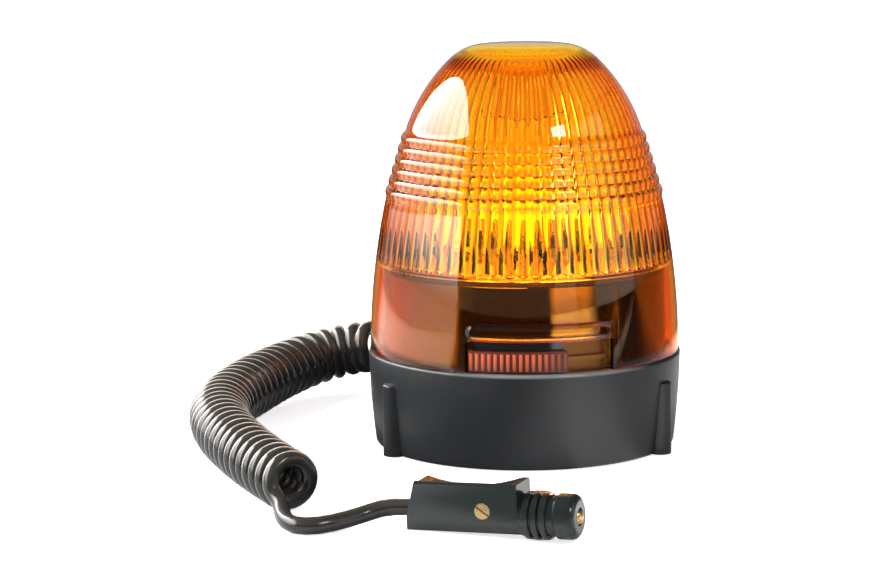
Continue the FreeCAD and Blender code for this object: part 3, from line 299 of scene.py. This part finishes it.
def grid_quads(first, rows, columns):
    """The quads of a grid that closes on itself round its rows, as (rows - 1, columns, 4) indices."""
    index = first + np.arange(rows * columns).reshape(rows, columns)
    after = np.roll(index, -1, axis=1)
    return np.stack((index[:-1], after[:-1], after[1:], index[1:]), axis=-1)


def make_piece(name, points, faces, body, replaced, slot, crease=35.0):
    """A closed mesh from points and lists of faces, its unused points dropped and its faces turned
    outwards, with edges sharper than the crease angle kept hard."""
    used = np.unique(np.concatenate([f.ravel() for f in faces]))
    renumber = np.zeros(len(points), int)
    renumber[used] = np.arange(len(used))
    mesh = bpy.data.meshes.new(name)
    mesh.from_pydata(points[used].tolist(), [], [q for f in faces for q in renumber[f].tolist()])
    work = bmesh.new()
    work.from_mesh(mesh)
    bmesh.ops.recalc_face_normals(work, faces=work.faces)
    work.to_mesh(mesh)
    work.free()
    mesh.shade_smooth()
    mesh.set_sharp_from_angle(angle=math.radians(crease))
    piece = bpy.data.objects.new(name, mesh)
    bpy.context.scene.collection.objects.link(piece)
    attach(piece, body)
    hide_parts(*replaced)
    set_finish(piece, slot)
    return piece


# Lens


def lens_root_radius(height):
    """The lens's outer radius at heights, along the roots of the belt's rings and up the dome."""
    skirt = bow_radius((lens_base_radius, lens_bottom), (belt_bottom_radius, belt_bottom), skirt_bulge,
                       np.minimum(height, belt_bottom))
    belt = np.interp(height, (belt_bottom, belt_top), (belt_bottom_radius, belt_top_radius))
    dome = bow_radius((belt_top_radius, belt_top), (crown_radius, shoulder_height), dome_bulge,
                      np.clip(height, belt_top, shoulder_height))
    return np.where(height <= belt_bottom, skirt, np.where(height <= belt_top, belt, dome))


def make_lens():
    """The amber lens as a closed shell of two grids, turn by height. Outside, the radius follows the
    skirt's arc, the ring arcs, the dome and the crown, and the bar over the window stands proud of it
    wherever a point is nearer to the bar's middle line than half the bar's height.
    Inside, the radius is the outside less the wall, less flute depth * |sin(flutes / 2 * turn)| above
    the land."""
    columns = flutes * columns_per_flute
    turn = (np.arange(columns) - columns // 2) * 360.0 / columns
    left = int(np.argmin(np.abs(turn - window_left)))
    right = int(np.argmin(np.abs(turn - window_right)))
    turn[left] = window_left
    turn[right] = window_right

    shared = np.linspace(lens_bottom, window_top, 5)
    skirt = np.concatenate((shared, np.linspace(window_top, bar_top, 16)[1:],
                            np.linspace(bar_top, belt_bottom, 12)[1:]))
    outside = [np.column_stack((lens_root_radius(skirt), skirt))]
    radii = np.linspace(belt_bottom_radius, belt_top_radius, belt_rings + 1)
    heights = np.linspace(belt_bottom, belt_top, belt_rings + 1)
    for k in range(belt_rings):
        ring = bow((radii[k], heights[k]), (radii[k + 1], heights[k + 1]), belt_ring_bulge, 8)
        outside.append(ring[1:])
    shoulder = (crown_radius, shoulder_height)
    rim = (crown_top_radius, lens_apex - crown_top_drop)
    outside.append(bow((belt_top_radius, belt_top), shoulder, dome_bulge, 16)[1:])
    outside.append(bow(shoulder, rim, crown_corner_bulge, 7)[1:])
    crown = np.linspace(1.0, 0.02, 5)
    crown_height = lens_apex - crown_top_drop * crown ** 2
    outside.append(np.column_stack((crown_top_radius * crown, crown_height))[1:])
    outside = np.concatenate(outside)
    around = np.radians(turn) * lens_base_radius
    bar_left = math.radians(window_left) * lens_base_radius + bar_half
    bar_right = math.radians(window_right) * lens_base_radius - bar_half
    past = np.maximum(np.maximum(bar_left - around, around - bar_right), 0.0)
    away = np.hypot(outside[:, 1:] - (window_top + bar_half), past)
    proud = window_bar_proud * (1 - smooth_step(bar_half - window_bar_edge, bar_half, away))
    outer = round_grid(outside[:, :1] + proud, outside[:, 1:], turn)

    fluted = np.concatenate((np.linspace(land_top, land_top + flute_run_in, 5),
                             np.linspace(land_top + flute_run_in, shoulder[1] - lens_wall, 20)[1:]))
    under_crown = np.concatenate((bow(shoulder, rim, crown_corner_bulge, 7),
                                  np.column_stack((crown_top_radius * crown, crown_height))[1:]))
    under_crown = under_crown * (0.95, 1.0) - (0.0, lens_wall)
    plain = np.concatenate((shared, np.linspace(window_top, flute_bottom, 6)[1:]))
    land = lens_root_radius(np.array(flute_bottom)) - lens_wall - seal_land_width
    inside = np.concatenate((
        np.column_stack((lens_root_radius(plain) - lens_wall, plain)),
        ((land, flute_bottom), (land, land_top)),
        np.column_stack((lens_root_radius(fluted) - lens_wall, fluted)),
        under_crown[1:],
    ))
    wave = np.abs(np.sin(np.radians(turn * flutes / 2)))
    risen = smooth_step(land_top, land_top + flute_run_in, inside[:, 1:])
    risen = risen * (1 - smooth_step(shoulder[1] - 2 * lens_wall, shoulder[1] + lens_wall, inside[:, 1:]))
    depth = flute_depth * inside[:, :1] / lens_base_radius
    inner = round_grid(inside[:, :1] - depth * risen * wave, inside[:, 1:], turn)

    rows_out = len(outside)
    rows_in = len(inside)
    first = rows_out * columns
    outer_quads = grid_quads(0, rows_out, columns)
    inner_quads = grid_quads(first, rows_in, columns)
    open_rows = len(shared) - 1
    keep = np.ones((rows_out - 1, columns), bool)
    keep[:open_rows, left:right] = False
    keep_inside = np.ones((rows_in - 1, columns), bool)
    keep_inside[:open_rows, left:right] = False
    outer_index = np.arange(first).reshape(rows_out, columns)
    inner_index = first + np.arange(rows_in * columns).reshape(rows_in, columns)
    span = np.arange(columns)
    foot = span[(span < left) | (span >= right)]
    head = span[left:right]

    def rim_quads(row, at):
        """The wall's cut edge between the two grids along one row."""
        beside = (at + 1) % columns
        return np.stack((outer_index[row, at], outer_index[row, beside],
                         inner_index[row, beside], inner_index[row, at]), axis=-1)

    def side_quads(column):
        """The wall's cut edge between the two grids up one side of the window."""
        low = np.arange(open_rows)
        return np.stack((outer_index[low, column], outer_index[low + 1, column],
                         inner_index[low + 1, column], inner_index[low, column]), axis=-1)

    points = np.concatenate((outer.reshape(-1, 3), inner.reshape(-1, 3),
                             ((0, 0, crown_height[-1]), (0, 0, crown_height[-1] - lens_wall))))
    tips = []
    for index, apex_point in ((outer_index, len(points) - 2), (inner_index, len(points) - 1)):
        tip = np.full(columns, apex_point)
        tips.append(np.stack((index[-1], np.roll(index[-1], -1), tip), axis=-1))
    faces = [outer_quads[keep], inner_quads[keep_inside], rim_quads(0, foot), rim_quads(open_rows, head),
             side_quads(left), side_quads(right)] + tips
    return make_piece("lens", points, faces, "lens", ["lens_dome"], "amber_lens", 40.0)


# Finishes


class Value:
    """A socket in a material's, lamp's or world's tree. Sums on such values add the nodes that work
    them out."""

    def __init__(self, tree, socket):
        self.tree = tree
        self.socket = socket

    def node(self, kind, settings, sockets, out=0):
        """Adds a node: its kind, its settings, then what feeds its sockets, by name or number."""
        made = self.tree.nodes.new(kind)
        for name, setting in settings.items():
            setattr(made, name, setting)
        for name, value in sockets.items():
            if isinstance(value, Value):
                self.tree.links.new(value.socket, made.inputs[name])
            else:
                made.inputs[name].default_value = value
        return Value(self.tree, made.outputs[out])

    def maths(self, operation, *others):
        """One of the Math node's operations on this value and others."""
        sockets = dict(enumerate((self,) + others))
        return self.node("ShaderNodeMath", {"operation": operation}, sockets)

    def __add__(self, other):
        return self.maths("ADD", other)

    def __sub__(self, other):
        return self.maths("SUBTRACT", other)

    def __mul__(self, other):
        if isinstance(other, tuple):
            return self.node("ShaderNodeVectorMath", {"operation": "MULTIPLY"}, {0: self, 1: other})
        return self.maths("MULTIPLY", other)

    __radd__ = __add__
    __rmul__ = __mul__

    def __rsub__(self, other):
        return (self * -1.0) + other

    def noise(self, scale, detail=3.0, rough=0.5):
        """Cloudy noise over these coordinates, 0 to 1."""
        return self.node("ShaderNodeTexNoise", {}, {"Vector": self, "Scale": scale, "Detail": detail,
                                                    "Roughness": rough}, "Fac")

    def ramp(self, start, end):
        """0 where this value is at start and 1 where it is at end, smooth between and held beyond."""
        return self.node("ShaderNodeMapRange", {"interpolation_type": "SMOOTHSTEP"},
                         {"Value": self, "From Min": start, "From Max": end})

    def axis(self, name):
        """One of these coordinates' three numbers."""
        return self.node("ShaderNodeSeparateXYZ", {}, {"Vector": self}, name)

    def turn(self):
        """How far these coordinates are turned about Z, from the front towards +X, in degrees."""
        return self.axis("X").maths("ARCTAN2", self.axis("Y") * -1.0) * math.degrees(1.0)

    def from_axis(self):
        """How far these coordinates are from the Z axis."""
        flat = self * (1.0, 1.0, 0.0)
        return self.node("ShaderNodeVectorMath", {"operation": "LENGTH"}, {0: flat}, "Value")

    def most(self, other):
        """The greater of two values."""
        return self.maths("MAXIMUM", other)

    def off(self, middle):
        """How far this value is from a middle, either way."""
        return (self - middle).maths("ABSOLUTE")

    def stretched(self, x, y, z):
        """Coordinates scaled along each axis."""
        return self.node("ShaderNodeMapping", {}, {"Vector": self, "Scale": (x, y, z)})

    def between(self, low, high):
        """This value from 0 to 1 as a number from low to high."""
        return self.node("ShaderNodeMapRange", {}, {"Value": self, "To Min": low, "To Max": high})

    def colours(self, first, second):
        """This value from 0 to 1 as a mix of two colours."""
        ends = [c if isinstance(c, Value) else c + (1.0,) for c in (first, second)]
        return self.node("ShaderNodeMix", {"data_type": "RGBA"},
                         {"Factor": self, 6: ends[0], 7: ends[1]}, 2)

    def bump(self, strength, distance):
        """A bumped normal from this height."""
        return self.node("ShaderNodeBump", {}, {"Height": self, "Strength": strength, "Distance": distance})


def finish_tree(name):
    """A new material, its surface shader and its object coordinates."""
    material = bpy.data.materials.new(name)
    material.use_nodes = True
    tree = material.node_tree
    shader = tree.nodes["Principled BSDF"]
    place = tree.nodes.new("ShaderNodeTexCoord")
    return material, shader, Value(tree, place.outputs["Object"])


def feed(shader, name, value):
    """Feeds one socket of the surface shader."""
    if isinstance(value, Value):
        value.tree.links.new(value.socket, shader.inputs[name])
    else:
        shader.inputs[name].default_value = value


def grained(name, dark, light, rough, grain_scale, grain_height, metal=0.0, streak=(1, 1, 1)):
    """A solid finish: two close colours mixed by clouds, roughness that follows finer clouds, and a
    grain in the surface. Streaks stretch the grain along an axis."""
    material, shader, place = finish_tree(name)
    clouds = place.noise(cloud_scale, 4.0)
    grain = place.stretched(*streak).noise(grain_scale, 3.0, 0.6)
    feed(shader, "Base Color", clouds.colours(dark, light))
    feed(shader, "Roughness", grain.between(rough[0], rough[1]))
    feed(shader, "Metallic", metal)
    feed(shader, "Normal", grain.bump(1.0, grain_height))
    return material


def painted_edge_shade_lines(place):
    """Where painted shade lines lie along the lens's cut edges, 0 to 1: round the bar over the window, up
    the window's two sides and along the lens's foot."""
    above = place.axis("Z") - (window_top + bar_half)
    reach = math.radians(window_right - window_left) / 2 * lens_base_radius
    sideways = place.turn().off((window_left + window_right) / 2) * (math.radians(1.0) * lens_base_radius)
    past = (sideways - (reach - bar_half)).most(0.0)
    away = (above * above + past * past).maths("SQRT")
    inner = away.ramp(bar_half - 0.0013, bar_half - 0.0006)
    bar_line = inner * (1.0 - away.ramp(bar_half + 0.0002, bar_half + 0.0006))
    side_line = (1.0 - sideways.off(reach).ramp(0.0006, 0.0012)) * above.maths("LESS_THAN", -bar_half)
    foot_line = 1.0 - place.axis("Z").ramp(lens_bottom + 0.0008, lens_bottom + 0.0022)
    return bar_line.most(side_line).most(foot_line)


def amber_finish():
    """Clear amber plastic: tinted glass with faint flow clouds, fine haze and a raised parting line up
    the skirt. Its colour holds painted shade, deeper red where the flutes make it thick, where it curves
    away from view and in dark lines along its cut edges, and painted yellow light over the fluted zone and
    the crown."""
    material, shader, place = finish_tree("clear_amber")
    height = place.axis("Z")
    turn = place.turn()
    clouds = place.stretched(1, 1, 0.3).noise(14.0, 2.0)
    haze = place.noise(900.0, 2.0)
    on_skirt = height.maths("LESS_THAN", flute_bottom - 0.0035)
    ridge = (1.0 - turn.off(parting_turn).ramp(0.0, 0.23)) * on_skirt
    # The crown's band: painted yellow, a painted light from above, and kept free of the painted edge shade.
    crown = height.ramp(lens_apex - 0.0080, lens_apex - 0.0050)
    fluted = height.ramp(flute_bottom, flute_bottom + 0.0025)
    fluted = fluted * (1.0 - height.ramp(shoulder_height - 0.0065, shoulder_height - 0.0005))
    # Painted shade: deeper red where the inner flutes make the wall thick.
    thick_painted_shade = (turn * math.radians(flutes / 2)).maths("SINE").maths("ABSOLUTE") * fluted
    facing = place.node("ShaderNodeLayerWeight", {}, {"Blend": 0.5}, "Facing")
    # Painted shade: redder where the surface turns away from view, except on the crown.
    edge_painted_shade = facing.ramp(0.06, 0.55) * (1.0 - crown)
    skirt_wall = clouds.colours((0.96, 0.43, 0.012), (0.97, 0.49, 0.020))
    # Painted light: the fluted zone is painted a lighter yellow.
    painted_lit_wall = fluted.colours(skirt_wall, (0.97, 0.65, 0.020))
    wall = thick_painted_shade.ramp(0.15, 0.95).colours(painted_lit_wall, (0.90, 0.35, 0.006))
    with_edge_shade = edge_painted_shade.colours(wall, (0.78, 0.13, 0.012))
    # Painted shade: dark red lines along the cut edges.
    with_painted_lines = painted_edge_shade_lines(place).colours(with_edge_shade, (0.45, 0.045, 0.020))
    # Painted light over the crown.
    feed(shader, "Base Color", crown.colours(with_painted_lines, (0.97, 0.62, 0.03)))
    feed(shader, "Roughness", haze.between(0.0, 0.05))
    feed(shader, "Transmission Weight", 1.0)
    feed(shader, "IOR", 1.5)
    feed(shader, "Normal", (ridge + haze * 0.02).bump(0.3, 0.0002))
    return material


def slide_finish():
    """The slide's red amber: painted highlights on its rib crests, painted shade between them, low down and
    to +X.
    """
    material, shader, place = finish_tree("red_amber")
    clouds = place.noise(60.0, 3.0)
    crest = place.from_axis().ramp(slide_valley, slide_crest)
    # Painted highlight on the rib crests; painted shade in the valleys, towards the foot and towards +X.
    painted_rib_light = crest * place.axis("Z").ramp(0.046, 0.060) * (1.0 - place.axis("X").ramp(0.004, 0.017) * 0.6)
    ridge = clouds.colours((0.58, 0.10, 0.03), (0.68, 0.14, 0.04))
    feed(shader, "Base Color", painted_rib_light.colours((0.075, 0.018, 0.012), ridge))
    feed(shader, "Roughness", clouds.between(0.16, 0.26))
    feed(shader, "IOR", 1.5)
    return material


def foot_finish():
    """The foot's black: satin with fine level streaks on the wall, and a painted highlight, pale and
    less rough, on the front of its upper shoulder."""
    material, shader, place = finish_tree("satin_black")
    clouds = place.noise(cloud_scale, 4.0)
    grain = place.stretched(1, 1, 8).noise(500.0, 3.0, 0.6)
    turn = place.turn()
    # Painted highlight: the front of the upper shoulder, between these turns and heights, is painted pale.
    front = turn.ramp(-40, -8) * (1.0 - turn.ramp(25, 55))
    shoulder = place.axis("Z").ramp(shoulder_highlight_from, shoulder_highlight_to) * front
    black = clouds.colours((0.010, 0.0115, 0.0135), (0.017, 0.019, 0.0215))
    feed(shader, "Base Color", (shoulder * 0.8).colours(black, (0.26, 0.265, 0.27)))
    feed(shader, "Roughness", grain.between(0.28, 0.42) * (1.0 - shoulder * 0.65))
    feed(shader, "Normal", grain.bump(1.0, 0.00001))
    return material


def cord_finish():
    """The cord's sheath: satin black, painted lighter on top, with a painted pale sheen where a turn's top
    curves away.
    """
    material, shader, place = finish_tree("cord_black")
    clouds = place.noise(cloud_scale, 4.0)
    grain = place.noise(1500.0, 3.0, 0.6)
    normal = place.node("ShaderNodeNewGeometry", {}, {}, "Normal")
    facing = place.node("ShaderNodeLayerWeight", {}, {"Blend": 0.5}, "Facing")
    upward = normal.axis("Z").ramp(0.05, 0.5)
    black = clouds.colours((0.010, 0.0095, 0.0088), (0.016, 0.0150, 0.0136))
    # Painted light: the upper side of each turn is painted lighter.
    body = upward.colours(black, (0.042, 0.037, 0.031))
    # Painted sheen: pale where that upper side curves away from view, on the higher turns.
    painted_sheen = facing.ramp(0.48, 0.78) * upward * place.axis("Z").ramp(0.010, 0.018)
    feed(shader, "Base Color", painted_sheen.colours(body, (0.62, 0.57, 0.50)))
    feed(shader, "Roughness", grain.between(0.14, 0.22))
    feed(shader, "Normal", grain.bump(1.0, 0.00001))
    return material


def drum_finish():
    """The drum's polished black, with a painted tan glow, metallic and rougher, where the lock's free way
    lies open.
    """
    material, shader, place = finish_tree("polished_black")
    clouds = place.noise(cloud_scale, 4.0)
    turn = place.turn()
    # Painted glow: tan, metallic and rougher over the lock's open free way.
    painted_glow = turn.ramp(free_way_left, free_way_left + 4)
    painted_glow = painted_glow * (1.0 - turn.ramp(free_way_right - 3, free_way_right))
    painted_glow = painted_glow * (1.0 - place.axis("Z").ramp(free_way_top - 0.003, free_way_top))
    black = clouds.colours((0.004, 0.005, 0.006), (0.007, 0.009, 0.010))
    feed(shader, "Base Color", painted_glow.colours(black, (0.20, 0.085, 0.028)))
    feed(shader, "Metallic", painted_glow)
    feed(shader, "Roughness", place.noise(900.0).between(0.05, 0.10) + painted_glow * 0.3)
    feed(shader, "IOR", 2.1)
    return material


def glass_finish():
    """Clear bulb glass with a faint smoke."""
    material, shader, place = finish_tree("bulb_quartz")
    clouds = place.noise(120.0, 2.0)
    feed(shader, "Base Color", clouds.colours((0.96, 0.97, 0.98), (1.0, 1.0, 1.0)))
    feed(shader, "Roughness", clouds.between(0.0, 0.03))
    feed(shader, "Transmission Weight", 1.0)
    feed(shader, "IOR", 1.46)
    return material


def make_finishes():
    """One finish for each of the record's material slots."""
    return {
        "black_plastic": foot_finish(),
        "drum_plastic": drum_finish(),
        "amber_lens": amber_finish(),
        "amber_slide": slide_finish(),
        "rubber": grained("soft_black", (0.014, 0.014, 0.015), (0.024, 0.024, 0.025), (0.52, 0.72),
                          1800.0, 0.00004),
        "cord_sheath": cord_finish(),
        "ferrite": grained("ferrite_grey", (0.055, 0.055, 0.058), (0.10, 0.10, 0.105), (0.6, 0.85),
                           1400.0, 0.00006),
        "steel": grained("zinc_steel", (0.52, 0.52, 0.52), (0.66, 0.66, 0.65), (0.22, 0.42),
                         900.0, 0.00001, 1.0),
        "motor_steel": grained("plated_can", (0.46, 0.46, 0.47), (0.58, 0.58, 0.58), (0.2, 0.36),
                               700.0, 0.00001, 1.0, (1, 1, 0.05)),
        "gear_plastic": grained("natural_acetal", (0.72, 0.70, 0.63), (0.80, 0.78, 0.72), (0.36, 0.5),
                                1200.0, 0.00002),
        "bronze": grained("sintered_bronze", (0.42, 0.25, 0.11), (0.56, 0.36, 0.17), (0.34, 0.52),
                          2200.0, 0.00002, 1.0),
        "brass": grained("turned_brass", (0.60, 0.40, 0.16), (0.74, 0.53, 0.24), (0.2, 0.38),
                         1200.0, 0.00001, 1.0),
        "contact_steel": grained("spring_nickel", (0.58, 0.57, 0.53), (0.70, 0.69, 0.65), (0.18, 0.34),
                                 1500.0, 0.00001, 1.0),
        "mirror": grained("metallised", (0.88, 0.88, 0.86), (0.93, 0.93, 0.91), (0.45, 0.55),
                          300.0, 0.000004, 1.0),
        "holder_plastic": grained("heat_black", (0.03, 0.03, 0.03), (0.05, 0.05, 0.048), (0.45, 0.6),
                                  1800.0, 0.00003),
        "bulb_metal": grained("pressed_nickel", (0.60, 0.59, 0.56), (0.72, 0.71, 0.68), (0.16, 0.3),
                              900.0, 0.00001, 1.0),
        "bulb_glass": glass_finish(),
        "tungsten": grained("drawn_wire", (0.30, 0.30, 0.30), (0.42, 0.42, 0.42), (0.3, 0.5),
                            4000.0, 0.00001, 1.0),
        "plug_plastic": grained("polished_plug", (0.012, 0.017, 0.0165), (0.019, 0.025, 0.024), (0.10, 0.2),
                                1100.0, 0.000008),
    }


def dress(pieces):
    """Gives every CAD node its slot's finish, and each new piece the finish of its own slot."""
    finishes = make_finishes()
    slots = {part["node"]: part["material_slot"] for part in frame["record"]["subparts"]}
    for name, node in nodes.items():
        node.data.materials.clear()
        node.data.materials.append(finishes[slots[name]])
    for piece in pieces:
        piece.data.materials.clear()
        piece.data.materials.append(finishes[piece["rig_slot"]])


# Stage


def place_light(name, data, place, target):
    """Stands an area light at a place, facing a point."""
    light = bpy.data.objects.new(name, data)
    back = unit(np.array(place) - np.array(target))
    side = unit(np.cross((0.0, 0.0, 1.0), back))
    turned = Matrix(np.column_stack((side, np.cross(back, side), back)).tolist()).to_4x4()
    light.matrix_world = Matrix.Translation(place) @ turned
    bpy.context.scene.collection.objects.link(light)
    return light


def panel_light(name, place, target, width, height, radiance, inside_only=False):
    """A soft box that faces a point, of power pi * radiance * area. One for the inside only reaches
    what lies behind the lens."""
    data = bpy.data.lights.new(name, "AREA")
    data.shape = "RECTANGLE"
    data.size = width
    data.size_y = height
    data.energy = math.pi * radiance * width * height
    light = place_light(name, data, place, target)
    light.visible_glossy = not inside_only
    light.visible_diffuse = not inside_only


def soft_oval(name, place, width, height, radiance):
    """The main light: half an oval that stands on the floor and faces +X. It is brightest at its top and
    dim at its foot, most of all at the foot's back, and isn't seen through the lens."""
    data = bpy.data.lights.new(name, "AREA")
    data.shape = "ELLIPSE"
    data.size = width
    data.size_y = height
    data.energy = math.pi * radiance * math.pi / 4 * width * height
    data.use_nodes = True
    tree = data.node_tree
    spot = Value(tree, tree.nodes.new("ShaderNodeNewGeometry").outputs["Position"])
    rise = spot.axis("Z").ramp(0.08, 0.25) * 0.4 + spot.axis("Z").ramp(0.2, 0.8) * 0.52 + oval_foot
    shaded = spot.axis("Y").ramp(-0.15, 0.3) * (1.0 - spot.axis("Z").ramp(0.15, 0.45))
    level = rise * (1.0 - shaded * 0.6)
    grey = level.colours((0.0, 0.0, 0.0), (1.0, 1.0, 1.0))
    tree.links.new(grey.socket, tree.nodes["Emission"].inputs["Color"])
    light = place_light(name, data, place, np.array(place) + (1.0, 0.0, 0.0))
    light.visible_transmission = False


def ray_kinds(tree):
    """Whether a ray is the camera's own, a mirrored one or one that came through something clear."""
    path = tree.nodes.new("ShaderNodeLightPath")
    kinds = ("Is Camera Ray", "Is Glossy Ray", "Is Transmission Ray")
    return [Value(tree, path.outputs[kind]) for kind in kinds]


def make_world():
    """White for the camera. For rays that come through the lens it is white behind, above and to the left
    and dark in front, as in a studio with the camera in the dark. In mirrors it is dim, a little lighter
    near the level and at the back, and it gives dull surfaces a dim light."""
    world = bpy.data.worlds.new("studio")
    bpy.context.scene.world = world
    world.use_nodes = True
    tree = world.node_tree
    sky = tree.nodes["Background"]
    sky.inputs["Color"].default_value = (1.0, 1.0, 1.0, 1.0)
    seen, glossy, through = ray_kinds(tree)
    towards = Value(tree, tree.nodes.new("ShaderNodeTexCoord").outputs["Object"])
    behind = towards.axis("Y").ramp(-0.1, 0.45)
    above = towards.axis("Z").ramp(0.0, 0.5)
    leftward = 1.0 - towards.axis("X").ramp(-0.75, -0.6)
    passing = through * behind.most(above.between(0.04, 1.0)).most(leftward * 0.8)
    backdrop = towards.axis("Y").ramp(0.8, 0.95)
    level = 1.0 - towards.axis("Z").ramp(0.08, 0.3)
    mirrored = backdrop * 0.2 + level * 0.16 + 0.06
    strength = seen.most(glossy * mirrored + passing)
    dull = 1.0 - seen.most(glossy).most(through)
    tree.links.new((strength + dull * 0.4).socket, sky.inputs["Strength"])


def make_floor():
    """A wide pale floor. To the camera it glows a little, so that it is white and keeps a soft shadow.
    In mirrors it is dim, apart from places on the left, by the coil and by the plug. Through the lens it is
    dim in front and white behind, and a card to the right of the front glows both ways."""
    mesh = bpy.data.meshes.new("floor")
    corners = np.array(((-1, -1, 0), (1, -1, 0), (1, 1, 0), (-1, 1, 0))) * floor_half
    mesh.from_pydata(corners.tolist(), [], [(0, 1, 2, 3)])
    floor = bpy.data.objects.new("floor", mesh)
    bpy.context.scene.collection.objects.link(floor)
    material, shader, place = finish_tree("studio_white")
    seen, glossy, through = ray_kinds(material.node_tree)
    turn = place.turn()
    far = place.from_axis()
    left = 1.0 - turn.ramp(-54, -50)
    front = turn.ramp(-54, -50) * (1.0 - turn.ramp(112, 125))
    card = turn.ramp(16, 21) * (1.0 - turn.ramp(44, 56))
    behind = place.axis("Y").ramp(0.0, 0.15)
    by_plug = place.axis("Y").ramp(-0.25, -0.23) * (1.0 - place.axis("Y").ramp(-0.19, -0.17))
    near = 1.0 - far.ramp(0.32, 0.40)
    lit_left = left * turn.ramp(-140, -125)
    by_coil = (1.0 - place.axis("X").ramp(-0.12, -0.09)) * (1.0 - place.axis("Y").ramp(0.27, 0.32)) * near
    mirrored_dim = 1.0 - (lit_left * (1.0 - near) + near * turn.ramp(-25, 30)).most(by_coil)
    dim = glossy * mirrored_dim + through * front
    inward = behind.most(left * 0.6).most(card * far.ramp(0.65, 0.95) * 7.0) + card * 1.5
    glow = seen * far.ramp(0.35, 1.6).between(0.72, 1.0) + through * inward + glossy * card * 0.8
    white = place.noise(3.0).colours((0.88, 0.88, 0.88), (0.90, 0.90, 0.90))
    feed(shader, "Base Color", (dim * (1.0 - by_plug)).colours(white, (0.05, 0.05, 0.05)))
    feed(shader, "Roughness", 0.8)
    feed(shader, "Specular IOR Level", 0.0)
    feed(shader, "Emission Color", glow)
    feed(shader, "Emission Strength", 1.0)
    mesh.materials.append(material)


# Making


make_camera()
cord = make_cord()
lens = make_lens()
dress([cord, lens])
make_world()
make_floor()
soft_oval("left_oval", place=(-0.85, 0.22, 0.12), width=1.8, height=1.88, radiance=13.5)
panel_light("right_strip", place=(0.62, -1.15, 0.45), target=(0.0, 0.0, 0.1),
            width=0.40, height=0.9, radiance=0.5)
panel_light("right_fill", place=(1.2, -0.45, 0.5), target=(0.0, 0.0, 0.1),
            width=0.9, height=0.9, radiance=0.75)
panel_light("glint", place=(0.75, -1.07, 0.95), target=(0.0, 0.0, 0.15),
            width=0.34, height=0.30, radiance=16.0)
panel_light("inside_front", place=(0.1, -1.2, 1.2), target=(0.0, 0.0, 0.4),
            width=3.5, height=2.2, radiance=14.0, inside_only=True)
bpy.context.scene.view_settings.view_transform = "Standard"

bpy.context.view_layer.update()
